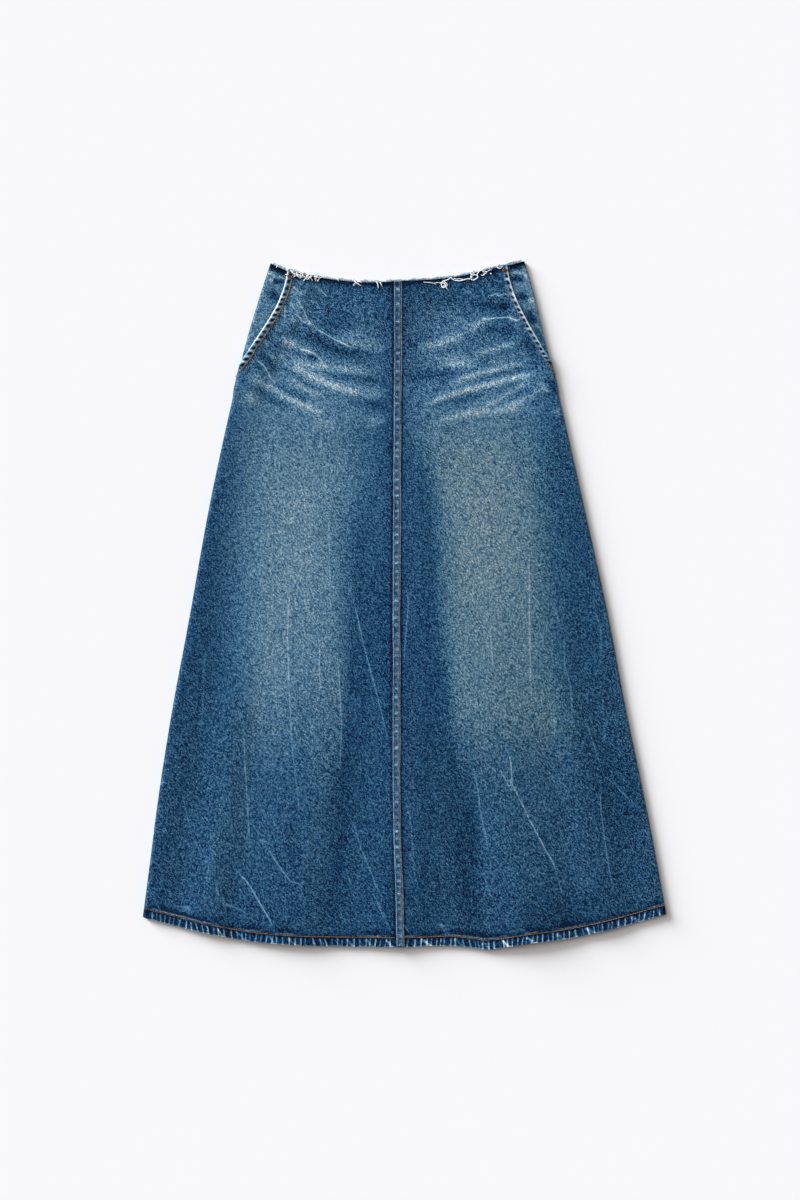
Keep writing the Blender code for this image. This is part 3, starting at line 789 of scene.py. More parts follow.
@dataclass(frozen=True)
class FrontWearAndShade:
    """How the front is rubbed, folded and creased, with painted shade and highlight, in millimetres."""

    base_tone: float = 0.24
    areas: tuple[RubbedArea, ...] = (RIGHT_THIGH, LEFT_THIGH)
    area_warmth: Row = (2.8, 5.2)
    whisker_warmth: float = 1.3
    side_warmth: float = 0.5
    fades: tuple[Fade, ...] = FADES_AND_SHADE
    whiskers: tuple[Stroke, ...] = WHISKERS
    shades: tuple[Stroke, ...] = SHADES
    folds: tuple[Stroke, ...] = FOLD_SHADING
    creases: tuple[tuple[float, Line], ...] = CREASES
    crease_reach: float = 4.6
    crease_core: float = 2.6
    crease_rise: float = 0.35
    crease_round: float = 1.6
    crease_ends: float = 0.25
    ripple_rise: float = 0.22

    def tone(self, at: Spots) -> Array:
        """How pale the front's cloth is at each place, before grain.

        Args:
            at: The places.

        Returns:
            The tones, 0 for unwashed indigo and 1 for bare white yarn.
        """
        tone = np.full(at.x.shape, self.base_tone)
        for area in self.areas:
            tone = tone + area.tone(at)
        for patch in self.fades:
            tone = tone + patch.tone * patch.weight(at)
        # The whiskers are wear; the shades and the fold shading add painted shade and highlight.
        for stroke in (*self.whiskers, *self.shades, *self.folds):
            tone = tone + stroke.tone * stroke.weight(at)
        return tone

    def warmth(self, at: Spots) -> Array:
        """How much warmer and greyer the cloth is at each place: most on the left thigh.

        Args:
            at: The places.

        Returns:
            The warmth, 0 for pure indigo.
        """
        x, y = at.x, at.y
        thigh = sum(share * area.tone(at) for share, area in zip(self.area_warmth, self.areas))
        thigh = thigh * smooth((330 - y) / 130) * smooth((y + 300) / 140)
        low = (0.12 + 0.36 * smooth(x / 60)) * smooth((-60 - y) / 200)
        beside = smooth((300 - y) / 100) * smooth((y + 260) / 120)
        side = self.side_warmth * smooth((x - 150) / 70) * beside
        rubbed = sum(stroke.tone * stroke.weight(at) for stroke in self.whiskers)
        return thigh + low + side + self.whisker_warmth * rubbed

    def nap(self, at: Spots) -> Array:
        """How strongly the twill's strokes stand out at each place: most on the hips."""
        low = 0.12 * smooth((-60 - at.y) / 120) * smooth((np.abs(at.x) - 40) / 40)
        return 1.0 + 0.2 * smooth((at.y - 270) / 90) + 0.1 * smooth((self.tone(at) - 0.3) / 0.3) + low

    def rise(self, at: Spots) -> Array:
        """The front's fine relief at each place.

        Args:
            at: The places.

        Returns:
            The relief in millimetres.
        """
        x, y = at.x, at.y
        rise = self.ripple_rise * (
            np.sin(x / 23 + 1.3 * np.sin(y / 61)) * np.cos(y / 47 + x / 90)
            + 0.7 * np.sin(x / 12.5 + y / 140 + 2) * np.sin(y / 35 + 1)
        )
        for stroke in (*self.whiskers, *self.shades, *self.folds):
            if stroke.rise:
                rise = rise + stroke.rise * stroke.weight(at)
        offset, strength = self.crease(at)
        return rise + self.crease_rise * strength * bell(offset / self.crease_round)

    def crease(self, at: Spots) -> Pair:
        """The nearest crease.

        Args:
            at: The places.

        Returns:
            The distance to it in millimetres, with a sign, and its strength there, which
            is 0 away from any crease.
        """
        x, y = at.x, at.y
        offset, strength = np.full(x.shape, 2 * self.crease_reach), np.zeros(x.shape)
        span = self.crease_reach - self.crease_core
        for full, line in self.creases:
            low = np.min(line, axis=0) - self.crease_reach
            high = np.max(line, axis=0) + self.crease_reach
            inside = (x > low[0]) & (x < high[0]) & (y > low[1]) & (y < high[1])
            signed, passed = distance_to_line(Spots(x[inside], y[inside]), line)
            near = 1 - smooth((np.abs(signed) - self.crease_core) / span)
            ends = smooth(np.minimum(passed, 1 - passed) / self.crease_ends + 0.1)
            here = full * near * ends
            better = np.abs(signed) < np.abs(offset[inside])
            offset[inside] = np.where(better, signed, offset[inside])
            strength[inside] = np.where(better, here, strength[inside])
        return offset, strength


WEAR_AND_SHADE = FrontWearAndShade()


def front_point(along: Array, down: Array, depth: Array) -> Array:
    """Points on the front with its fine relief, at a depth under its outer face.

    Args:
        along: Distances from the centre line.
        down: Shares of the way down.
        depth: Depths in metres.

    Returns:
        The points.
    """
    points = FORM.point(Layer.FRONT, along, down, depth)
    from_fold = FORM.seam_at(along, down) - FORM.arc_length(down) - np.abs(along)
    on_top = smooth(from_fold / 0.02)
    points[..., 2] += WEAR_AND_SHADE.rise(Spots.of(points)) * MM * on_top
    return points


# ---- meshes from grids ----


def show(name: str, data: bpy.types.ID) -> Piece:
    """Puts a new object with some data into the scene.

    Args:
        name: The object's name.
        data: Its mesh, curve, light or camera.

    Returns:
        The object.
    """
    made = bpy.data.objects.new(name, data)
    bpy.context.scene.collection.objects.link(made)
    return made


def grid_mesh(name: str, points: Array, marks: dict[str, Array]) -> Piece:
    """A cloth grid moved onto its form; a new grid's vertices run by row, the last row first.

    Args:
        name: The new object's name.
        points: The grid's points, by row, column and axis.
        marks: Values for each point, by attribute name.

    Returns:
        The new object, with a UV map "cloth" in metres across and along the cloth.
    """
    rows, columns = points.shape[:2]
    bm = bmesh.new()
    bmesh.ops.create_grid(bm, x_segments=columns - 1, y_segments=rows - 1, size=1)
    mesh = bpy.data.meshes.new(name)
    bm.to_mesh(mesh)
    bm.free()
    placed = points[::-1].reshape(-1, 3)
    mesh.vertices.foreach_set("co", placed.astype(np.float32).ravel())
    for mark, values in marks.items():
        attribute = mesh.attributes.new(mark, "FLOAT", "POINT")
        attribute.data.foreach_set("value", values[::-1].astype(np.float32).ravel())
    corner = np.empty(len(mesh.loops), np.int32)
    mesh.loops.foreach_get("vertex_index", corner)
    uv = mesh.uv_layers.new(name="cloth")
    uv.data.foreach_set("uv", placed[corner, :2].astype(np.float32).ravel())
    mesh.shade_smooth()
    return show(name, mesh)


def solidify(piece: Piece, thickness: float) -> None:
    """Gives a single skin its thickness, inwards, with the second material inside.

    Args:
        piece: The skin.
        thickness: The cloth's thickness in metres.
    """
    modifier = piece.modifiers.new("thickness", "SOLIDIFY")
    modifier.thickness = thickness
    modifier.offset = -1
    modifier.use_even_offset = False
    modifier.material_offset = 1


def close_tube(piece: Piece) -> None:
    """Closes a grid whose first and last rows meet: a ribbon with a whole section.

    Args:
        piece: The ribbon.
    """
    bm = bmesh.new()
    bm.from_mesh(piece.data)
    bmesh.ops.remove_doubles(bm, verts=bm.verts, dist=1e-6)
    bmesh.ops.holes_fill(bm, edges=bm.edges, sides=0)
    bmesh.ops.recalc_face_normals(bm, faces=bm.faces)
    bm.to_mesh(piece.data)
    bm.free()
    piece.data.shade_smooth()


def tubes(name: str, paths: Iterable[Array], radii: Iterable[float], round_by: int = 0) -> Piece:
    """Many short threads as one mesh.

    Args:
        name: The new object's name.
        paths: The threads' centre points, one array each.
        radii: The threads' radii in metres.
        round_by: The bevel's resolution: 0 for four sides.

    Returns:
        The new object.
    """
    curve = bpy.data.curves.new(name, "CURVE")
    curve.dimensions = "3D"
    curve.bevel_depth = 1.0
    curve.bevel_resolution = round_by
    curve.use_fill_caps = True
    for path, radius in zip(paths, radii):
        spline = curve.splines.new("POLY")
        spline.points.add(len(path) - 1)
        spline.points.foreach_set("co", np.column_stack([path, np.ones(len(path))]).ravel())
        taper = 1 - 0.45 * np.abs(np.linspace(-1, 1, len(path))) ** 3
        spline.points.foreach_set("radius", radius * taper)
    holder = show(name, curve)
    graph = bpy.context.evaluated_depsgraph_get()
    mesh = bpy.data.meshes.new_from_object(holder.evaluated_get(graph))
    mesh.name = name
    bpy.data.objects.remove(holder)
    bpy.data.curves.remove(curve)
    bm = bmesh.new()
    bm.from_mesh(mesh)
    bmesh.ops.recalc_face_normals(bm, faces=bm.faces)
    bm.to_mesh(mesh)
    bm.free()
    mesh.shade_smooth()
    return show(name, mesh)


# ---- node sheets and finishes ----

Node, Tree, Outputs = bpy.types.Node, bpy.types.NodeTree, bpy.types.NodeOutputs
Socket = bpy.types.NodeSocket
Value = float | Socket
Inputs = dict[str | int, object]


@dataclass
class NodeSheet:
    """Adds nodes to one node tree and links them."""

    tree: Tree

    def feed(self, node: Node, inputs: Inputs) -> None:
        """Sets or links a node's inputs.

        Args:
            node: The node.
            inputs: Values or sockets for its inputs, by name or index.
        """
        for name, value in inputs.items():
            if isinstance(value, Socket):
                self.tree.links.new(value, node.inputs[name])
            else:
                node.inputs[name].default_value = value

    def node(self, kind: str, inputs: Inputs | None = None, **settings: object) -> Node:
        """A new node.

        Args:
            kind: The node's type.
            inputs: Values or sockets for its inputs, by name or index.
            **settings: Values for its own properties.

        Returns:
            The node.
        """
        made = self.tree.nodes.new(kind)
        for name, value in settings.items():
            setattr(made, name, value)
        self.feed(made, inputs or {})
        return made

    def math(self, operation: str, a: Value, b: Value = 0.0) -> Socket:
        """The result of a Math node."""
        return self.node("ShaderNodeMath", {0: a, 1: b}, operation=operation).outputs[0]

    def added(self, *terms: Value) -> Socket:
        """The sum of several values."""
        return reduce(lambda total, term: self.math("ADD", total, term), terms)

    def times(self, *factors: Value) -> Socket:
        """The product of several values."""
        return reduce(lambda total, factor: self.math("MULTIPLY", total, factor), factors)

    def spread(self, value: Value, low: float, high: float, to_low: float, to_high: float) -> Socket:
        """A value mapped from one range to another, clamped."""
        inputs = {0: value, 1: low, 2: high, 3: to_low, 4: to_high}
        return self.node("ShaderNodeMapRange", inputs).outputs[0]

    def noise(self, place: Socket, detail: float = 2.0, roughness: float = 0.5) -> Socket:
        """Smooth noise about 0, one blob to a unit.

        Args:
            place: Where to read it.
            detail: How many finer layers it has.
            roughness: How strong those are.

        Returns:
            Values mostly between -1 and 1.
        """
        inputs = {"Vector": place, "Scale": 1.0, "Detail": detail, "Roughness": roughness}
        raw = self.node("ShaderNodeTexNoise", inputs, noise_dimensions="3D").outputs[0]
        return self.times(self.math("SUBTRACT", raw, 0.5), 4.0)

    def cells(self, place: Socket) -> Socket:
        """A random value for each uneven cell about one unit wide.

        Args:
            place: Where to read it.

        Returns:
            Values between -1 and 1.
        """
        inputs = {"Vector": place, "Scale": 1.0, "Randomness": 1.0}
        cell = self.node("ShaderNodeTexVoronoi", inputs, voronoi_dimensions="2D").outputs["Color"]
        red = self.node("ShaderNodeSeparateXYZ", {0: cell}).outputs[0]
        return self.times(self.math("SUBTRACT", red, 0.5), 2.0)

    def stretched(self, place: Socket, size: tuple[float, float, float], turn: float = 0.0) -> Socket:
        """A place measured in blobs of a given size, turned about Z, in degrees."""
        inputs = {"Vector": place, "Rotation": (0, 0, math.radians(turn)), "Scale": size}
        return self.node("ShaderNodeMapping", inputs, vector_type="TEXTURE").outputs[0]

    def group(self, name: str, inputs: Inputs) -> Outputs:
        """The outputs of a new copy of a node group."""
        tree = bpy.data.node_groups[name]
        return self.node("ShaderNodeGroup", inputs, node_tree=tree).outputs

    def attribute(self, name: str) -> Socket:
        """A value stored on the mesh."""
        return self.node("ShaderNodeAttribute", attribute_name=name).outputs["Fac"]

    def bump(self, height: Socket, strength: float, distance: float) -> Socket:
        """A normal bent by a height."""
        inputs = {"Strength": strength, "Distance": distance, "Height": height}
        return self.node("ShaderNodeBump", inputs).outputs[0]

    def ramp(self, value: Socket, stops: Sequence[tuple[float, Colour]]) -> Socket:
        """A colour ramp.

        Args:
            value: What the ramp is read by, from 0 to 1.
            stops: Screen colours by value.

        Returns:
            The colour.
        """
        made = self.node("ShaderNodeValToRGB", {0: value})
        ramp = made.color_ramp
        while len(ramp.elements) < len(stops):
            ramp.elements.new(0.5)
        for element, (at, colour) in zip(ramp.elements, stops):
            element.position = at
            element.color = (*linear(*colour), 1)
        return made.outputs[0]


def linear(red: int, green: int, blue: int) -> tuple[float, float, float]:
    """A colour in scene units from its 8-bit screen values."""
    shares = (value / 255 for value in (red, green, blue))
    return tuple(s / 12.92 if s <= 0.04045 else ((s + 0.055) / 1.055) ** 2.4 for s in shares)


FLOAT, VECTOR, COLOUR = "NodeSocketFloat", "NodeSocketVector", "NodeSocketColor"
GroupParts = tuple[NodeSheet, Outputs, Node]


def new_group(name: str, inputs: dict[str, str], outputs: dict[str, str]) -> GroupParts:
    """A shader node group with named sockets.

    Args:
        name: The group's name.
        inputs: Socket types by name.
        outputs: Socket types by name.

    Returns:
        A sheet to fill the group, the sockets that enter it, and its output node.
    """
    tree = bpy.data.node_groups.new(name, "ShaderNodeTree")
    for way, sockets in (("INPUT", inputs), ("OUTPUT", outputs)):
        for socket, kind in sockets.items():
            tree.interface.new_socket(socket, in_out=way, socket_type=kind)
    sheet = NodeSheet(tree)
    return sheet, sheet.node("NodeGroupInput").outputs, sheet.node("NodeGroupOutput")


def twill_group() -> None:
    """The twill from a place on the cloth: Strokes, Fleck and Streak about 0, and Height."""
    outputs = dict.fromkeys(("Strokes", "Fleck", "Streak", "Height"), FLOAT)
    sheet, source, result = new_group("twill", {"Place": VECTOR}, outputs)
    place = source["Place"]
    short = sheet.cells(sheet.stretched(place, (0.0007, 0.0019, 1), 40))
    long = sheet.noise(sheet.stretched(place, (0.001, 0.006, 1), 30), 0.0, 0.5)
    fleck = sheet.cells(sheet.stretched(place, (0.0007, 0.0009, 1), 20))
    slubs = sheet.noise(sheet.stretched(place, (0.0024, 0.045, 1)), 2.0, 0.6)
    mottle = sheet.noise(sheet.stretched(place, (0.012, 0.02, 1)), 3.0, 0.6)
    strokes = sheet.added(short, sheet.times(long, 0.22))
    streak = sheet.added(sheet.times(slubs, 0.5), sheet.times(mottle, 0.6))
    height = sheet.spread(sheet.added(strokes, fleck), -1.2, 1.2, 0, 1)
    sheet.feed(result, {"Strokes": strokes, "Fleck": fleck, "Streak": streak, "Height": height})


def crease_group() -> None:
    """A fine Line, from 0 to about 1, along the nearest crease and broken here and there."""
    inputs = {"Place": VECTOR, "Offset": FLOAT, "Strength": FLOAT}
    sheet, source, result = new_group("crease", inputs, {"Line": FLOAT})
    wobble = sheet.noise(sheet.stretched(source["Place"], (0.003, 0.005, 1), 20), 2.0, 0.6)
    shift = sheet.added(source["Offset"], sheet.times(wobble, 0.45))
    near = sheet.math("POWER", sheet.math("ABSOLUTE", sheet.math("DIVIDE", shift, 0.7)), 2.4)
    line = sheet.math("DIVIDE", 1.0, sheet.added(1.0, near))
    patchy = sheet.noise(sheet.stretched(source["Place"], (0.006, 0.006, 1)), 1.0, 0.5)
    broken = sheet.spread(patchy, -0.9, 0.5, 0.7, 1.2)
    sheet.feed(result, {"Line": sheet.times(line, broken, source["Strength"])})


INDIGO: tuple[tuple[float, Colour], ...] = (
    (0.0, (0, 8, 32)),
    (0.1, (2, 26, 58)),
    (0.2, (6, 48, 86)),
    (0.3, (27, 74, 112)),
    (0.4, (51, 98, 134)),
    (0.5, (76, 120, 153)),
    (0.6, (103, 143, 169)),
    (0.72, (136, 170, 190)),
    (0.85, (182, 205, 218)),
    (1.0, (232, 238, 240)),
)
WARM_SHIFT = (0.18, -0.01, -0.15)


def indigo_group() -> None:
    """The Color of washed indigo cotton for a tone, warmed and flecked."""
    inputs = {"Tone": FLOAT, "Warmth": FLOAT, "Fleck": FLOAT}
    sheet, source, result = new_group("indigo", inputs, {"Color": COLOUR})
    flecked = sheet.added(1.0, source["Fleck"])
    tint = sheet.node("ShaderNodeCombineXYZ")
    for channel, change in enumerate(WARM_SHIFT):
        warmed = sheet.added(1.0, sheet.times(source["Warmth"], change))
        sheet.feed(tint, {channel: sheet.times(warmed, flecked)})
    both = {0: sheet.ramp(source["Tone"], INDIGO), 1: tint.outputs[0]}
    mixed = sheet.node("ShaderNodeVectorMath", both, operation="MULTIPLY")
    sheet.feed(result, {"Color": mixed.outputs[0]})


def yarn_group() -> None:
    """Spun yarn: a Shade from 0 to 1 that changes along it, and the Height of its twist."""
    inputs = {"Patch": FLOAT, "Twist": FLOAT}
    sheet, source, result = new_group("yarn", inputs, {"Shade": FLOAT, "Height": FLOAT})
    place = sheet.node("ShaderNodeTexCoord").outputs["Object"]
    fine = {"Vector": place, "Scale": source["Patch"], "Detail": 2.0, "Roughness": 0.6}
    patch = sheet.node("ShaderNodeTexNoise", fine, noise_dimensions="3D").outputs[0]
    turned = sheet.node("ShaderNodeMapping", {"Vector": place, "Rotation": (0, 0, 0.6)}).outputs[0]
    twist = {"Vector": turned, "Scale": source["Twist"], "Distortion": 0.6}
    ply = sheet.node("ShaderNodeTexWave", twist)
    sheet.feed(result, {"Shade": sheet.spread(patch, 0.25, 0.75, 0, 1), "Height": ply.outputs[1]})


def new_material(name: str) -> tuple[Material, NodeSheet, Node]:
    """A node material.

    Args:
        name: Its name.

    Returns:
        The material, a sheet for its nodes, and its shader.
    """
    made = bpy.data.materials.new(name)
    made.use_nodes = True
    return made, NodeSheet(made.node_tree), made.node_tree.nodes["Principled BSDF"]


@dataclass(frozen=True)
class DenimFinish:
    """Washed indigo twill, whose tone follows the piece's own wear and painted shade.

    A piece may carry the point attributes tone, nap, warmth, crease_offset and
    crease_strength.
    """

    name: str
    strokes: float = 0.23
    fleck: float = 0.42
    streak: float = 0.018
    # Pales the cloth along the creases: partly wear, partly painted highlight.
    crease_wear_and_highlight: float = 0.32
    crease_calm: float = 0.6
    crease_height: float = 0.8
    roughness: float = 0.9
    gloss: float = 0.04
    sheen: float = 0.02
    bump: float = 0.35
    plain_tone: float | None = None

    def material(self) -> Material:
        """The finish as a node material.

        Returns:
            The material.
        """
        made, sheet, shader = new_material(self.name)
        place = sheet.node("ShaderNodeUVMap", uv_map="cloth").outputs[0]
        twill = sheet.group("twill", {"Place": place})
        offset, strength = sheet.attribute("crease_offset"), sheet.attribute("crease_strength")
        line = sheet.group("crease", {"Place": place, "Offset": offset, "Strength": strength})["Line"]
        calm = sheet.math("SUBTRACT", 1.0, sheet.times(line, self.crease_calm))
        nap = sheet.times(sheet.attribute("nap"), calm)
        tone = sheet.added(
            sheet.attribute("tone") if self.plain_tone is None else self.plain_tone,
            sheet.times(twill["Strokes"], nap, self.strokes),
            sheet.times(twill["Streak"], self.streak),
            sheet.times(line, self.crease_wear_and_highlight),
        )
        fleck = sheet.times(twill["Fleck"], nap, self.fleck)
        dye = {"Tone": tone, "Warmth": sheet.attribute("warmth"), "Fleck": fleck}
        height = sheet.added(twill["Height"], sheet.times(line, self.crease_height))
        look = {
            "Base Color": sheet.group("indigo", dye)["Color"],
            "Normal": sheet.bump(height, self.bump, 0.0004),
            "Roughness": self.roughness,
            "Specular IOR Level": self.gloss,
            "Sheen Weight": self.sheen,
            "Sheen Roughness": 0.6,
        }
        sheet.feed(shader, look)
        return made


@dataclass(frozen=True)
class YarnFinish:
    """Spun cotton thread or yarn, with a twist and a change of shade along it."""

    name: str
    dark: Colour
    light: Colour
    patch: float = 0.006
    twist: float = 0.0009
    roughness: float = 0.75
    gloss: float = 0.3

    def material(self) -> Material:
        """The finish as a node material.

        Returns:
            The material.
        """
        made, sheet, shader = new_material(self.name)
        yarn = sheet.group("yarn", {"Patch": 1 / self.patch, "Twist": 0.5 / self.twist})
        look = {
            "Base Color": sheet.ramp(yarn["Shade"], ((0.1, self.dark), (0.9, self.light))),
            "Normal": sheet.bump(yarn["Height"], 0.5, 0.0002),
            "Roughness": self.roughness,
            "Specular IOR Level": self.gloss,
        }
        sheet.feed(shader, look)
        return made


@dataclass(frozen=True)
class MetalFinish:
    """Aged zip metal, darker and rougher in its scuffs."""

    name: str = "aged_brass"
    dark: Colour = (96, 74, 48)
    light: Colour = (176, 148, 104)
    scuff: tuple[float, float, float] = (0.0011, 0.0034, 0.0011)

    def material(self) -> Material:
        """The finish as a node material.

        Returns:
            The material.
        """
        made, sheet, shader = new_material(self.name)
        place = sheet.node("ShaderNodeTexCoord").outputs["Object"]
        scuffs = sheet.noise(sheet.stretched(place, self.scuff, 20), 4.0, 0.65)
        shade = sheet.spread(scuffs, -1.2, 1.2, 0, 1)
        look = {
            "Base Color": sheet.ramp(shade, ((0.1, self.dark), (0.9, self.light))),
            "Normal": sheet.bump(shade, 0.25, 0.0002),
            "Roughness": sheet.spread(shade, 0, 1, 0.52, 0.28),
            "Metallic": 1.0,
        }
        sheet.feed(shader, look)
        return made


class Yarn(Enum):
    """The threads and yarns, by their use."""

    POCKET = YarnFinish("ochre_thread", (104, 70, 22), (220, 152, 62))
    HEM = YarnFinish("brown_thread", (66, 52, 36), (178, 134, 86), 0.008)
    SEAM_LEFT = YarnFinish("brown_seam_thread", (100, 72, 38), (200, 146, 84), 0.01)
    SEAM_RIGHT = YarnFinish("tan_seam_thread", (136, 112, 92), (224, 210, 194), 0.01)
    CUT = YarnFinish("blue_yarn", (110, 158, 192), (250, 253, 255), 0.002)
    LOOSE = YarnFinish("white_yarn", (240, 247, 252), (250, 253, 255), 0.008)
    TAPE = YarnFinish("navy_tape", (14, 26, 46), (34, 54, 84), twist=0.0007)


DENIM, INSIDE = DenimFinish("washed_denim"), DenimFinish("denim_inside", strokes=0.12, plain_tone=0.52)
METAL = MetalFinish()
Finish = DenimFinish | YarnFinish | MetalFinish


def make_finishes() -> None:
    """Makes the shared node groups and every finish's material, once."""
    for group in (twill_group, crease_group, indigo_group, yarn_group):
        group()
    for finish in (DENIM, INSIDE, *(yarn.value for yarn in Yarn), METAL):
        finish.material()


def dress(piece: Piece, slot: str, *finishes: Finish) -> None:
    """Gives a new piece its finishes and its body.

    Args:
        piece: The piece.
        slot: Not used.
        *finishes: Its finishes.
    """
    for finish in finishes:
        piece.data.materials.append(bpy.data.materials[finish.name])
    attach(piece, "skirt")


# ---- the panels ----

Marks = dict[str, Array]

# The painted light and shade along the front's edges, in millimetres from each edge: painted
# shade under the frayed waist; a painted highlight just over the hem's stitches with painted
# shade above it, even and where it is roped, whose pale crests are also worn; painted shade
# beside the centre seam; and beside each side seam, painted shade on the fold that faces the
# lamps and painted highlight on the fold that faces away from them.
UNDER_WAIST_SHADE = (Band(0, 5, -0.36), Band(0, 14, -0.07))
OVER_HEM_LIGHT_AND_SHADE = (Band(0.7, 1.4, 0.1), Band(3.6, 1.6, -0.1))
OVER_ROPED_HEM_WEAR_AND_SHADE = (Band(0.7, 1.4, 0.64), Band(5.5, 4, -0.16))
BESIDE_SEAM_SHADE = (Band(0.6, 1.4, -0.2), Band(0, 14, -0.03))
FOLD_LIGHT_AND_SHADE: dict[Side, tuple[Band, ...]] = {
    Side.RIGHT: (Band(4, 3, 0.04), Band(0.3, 1.8, -0.2)),
    Side.LEFT: (Band(6, 5, 0.03), Band(1.5, 3.5, 0.17)),
}


def plain_marks(tone: Array, nap: float = 1.0, warmth: Array | float = 0.0) -> Marks:
    """The marks of cloth that has no fine creases.

    Args:
        tone: How pale the cloth is at each place.
        nap: How strongly its twill stands out.
        warmth: How warm it is.

    Returns:
        Values for each mark that the denim finish reads.
    """
    away = 2 * WEAR_AND_SHADE.crease_reach
    marks = {"tone": tone, "nap": nap, "warmth": warmth, "crease_offset": away, "crease_strength": 0.0}
    return {name: np.broadcast_to(value, tone.shape) for name, value in marks.items()}


def panel_columns(main: int, edge: int) -> Array:
    """Column positions: 0 to 1 over the panel's flat, 1 to 2 over its last stretch."""
    return np.concatenate([np.linspace(0, 1, main), 1 + np.linspace(0, 1, edge + 1)[1:]])


def panel_grid(rows: int, main: int, edge: int) -> Pair:
    """Shares of the way down and column positions of a panel's grid."""
    down = FORM.top + (FORM.hem_top - FORM.gap_down - FORM.top) * np.linspace(0, 1, rows)
    return np.meshgrid(down, panel_columns(main, edge), indexing="ij")


def column_along(column: Array, start: Array | float, edge: Array) -> Array:
    """Distances from the centre line of columns between a panel's two edges.

    Args:
        column: The columns' positions.
        start: The inner edge's distance.
        edge: The outer edge's distance.

    Returns:
        The columns' distances.
    """
    near = start + column * (edge - FORM.edge_zone - start)
    return np.where(column <= 1, near, edge - FORM.edge_zone * (2 - column))


def sheet_piece(layer: Layer, node: str, side: Side, points: Array, marks: Marks) -> Piece:
    """One layer of denim in place of its solid, with its columns turned to face outwards.

    Args:
        layer: The layer of the skirt.
        node: The solid's name without its side.
        side: Its side.
        points: The grid's points, its columns starting at the middle of the skirt.
        marks: Its wear, and its painted light and shade where it has any.

    Returns:
        The new piece.
    """
    if side is (Side.LEFT if layer is Layer.BACK else Side.RIGHT):
        points, marks = points[:, ::-1], {mark: value[:, ::-1] for mark, value in marks.items()}
    piece = grid_mesh(f"denim_{layer.value}_{side.word}", points, marks)
    dress(piece, "denim", DENIM, INSIDE)
    solidify(piece, FORM.cloth)
    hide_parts(f"{node}_{side.word}")
    return piece


def ribbon_piece(node: str, slot: str, points: Array, marks: Marks) -> Piece:
    """A folded strip of denim in place of its solid.

    Args:
        node: The solid's name.
        slot: Its material slot.
        points: The points of its closed section, by row.
        marks: Its wear, and its painted light and shade where it has any.

    Returns:
        The new piece.
    """
    piece = grid_mesh(f"denim_{node}", points, marks)
    close_tube(piece)
    dress(piece, slot, DENIM)
    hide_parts(node)
    return piece


@dataclass(frozen=True)
class FrontPanel:
    """A front panel, from the centre front to the side seam and the pocket mouth."""

    side: Side
    columns: int = 112
    edge_columns: int = 18
    rows: int = 345
    side_seam_top: float = 0.15

    def build(self) -> Piece:
        """Builds the panel.

        Returns:
            The new piece.
        """
        down, column = panel_grid(self.rows, self.columns, self.edge_columns)
        sign = self.side.value
        edge = FORM.seam_at(sign, down) - FORM.mouth_inset(down) - FORM.gap / 2
        along = sign * column_along(column, FORM.gap / 2, edge)
        points = front_point(along, down, 0.0)
        at = Spots.of(points)
        offset, strength = WEAR_AND_SHADE.crease(at)
        marks = {
            "tone": WEAR_AND_SHADE.tone(at) + self.edge_wear_and_shade(along, down, edge),
            "nap": WEAR_AND_SHADE.nap(at),
            "warmth": WEAR_AND_SHADE.warmth(at),
            "crease_offset": offset,
            "crease_strength": strength,
        }
        return sheet_piece(Layer.FRONT, "front_panel", self.side, points, marks)

    def edge_wear_and_shade(self, along: Array, down: Array, edge: Array) -> Array:
        """The painted light and shade along the edges: under the waist, over the hem, where the
        roped crests are also worn, and beside the seams.

        Args:
            along: Distances from the centre line.
            down: Shares of the way down.
            edge: The distance of the panel's outer edge.

        Returns:
            The change of tone.
        """
        over_hem = (FORM.hem_top - down) * FORM.length / MM
        roped = 0.5 + 0.5 * np.sin(along / 0.013 + 2 * np.sin(along / 0.031))
        fold_light_shade = all_bands(FOLD_LIGHT_AND_SHADE[self.side], (edge - np.abs(along)) / MM)
        return (
            all_bands(UNDER_WAIST_SHADE, FORM.below_waist(down))
            + all_bands(OVER_HEM_LIGHT_AND_SHADE, over_hem)
            + all_bands(OVER_ROPED_HEM_WEAR_AND_SHADE, over_hem) * roped
            + all_bands(BESIDE_SEAM_SHADE, (np.abs(along) - FORM.fell_width / 2) / MM)
            + fold_light_shade * smooth((down - self.side_seam_top) / 0.02)
        )


@dataclass(frozen=True)
class BackPanel:
    """A back panel, flat on the table and turned up to the side seam."""

    side: Side
    columns: int = 70
    edge_columns: int = 14
    rows: int = 200
    slider_slot: tuple[float, float] = (0.0007, 0.0034)
    plain_tone: float = 0.33
    seat: Fade = Fade((110, 200), 90, 110, 230, 260, 0.14)

    def build(self) -> Piece:
        """Builds the panel.

        Returns:
            The new piece.
        """
        down, column = panel_grid(self.rows, self.columns, self.edge_columns)
        sign = self.side.value
        edge = FORM.seam_at(sign, down) - FORM.gap / 2
        slot_half, slot_reach = self.slider_slot
        at_slider = np.abs(down - FORM.slider_at) * FORM.length < slot_reach
        along = sign * column_along(column, np.where(at_slider, slot_half, FORM.gap / 2), edge)
        points = FORM.point(Layer.BACK, along, down, 0.0)
        at = Spots.of(points)
        seat = self.seat.weight(Spots(np.abs(at.x), at.y)) * self.seat.tone
        marks = plain_marks(self.plain_tone + seat)
        return sheet_piece(Layer.BACK, "back_panel", self.side, points, marks)
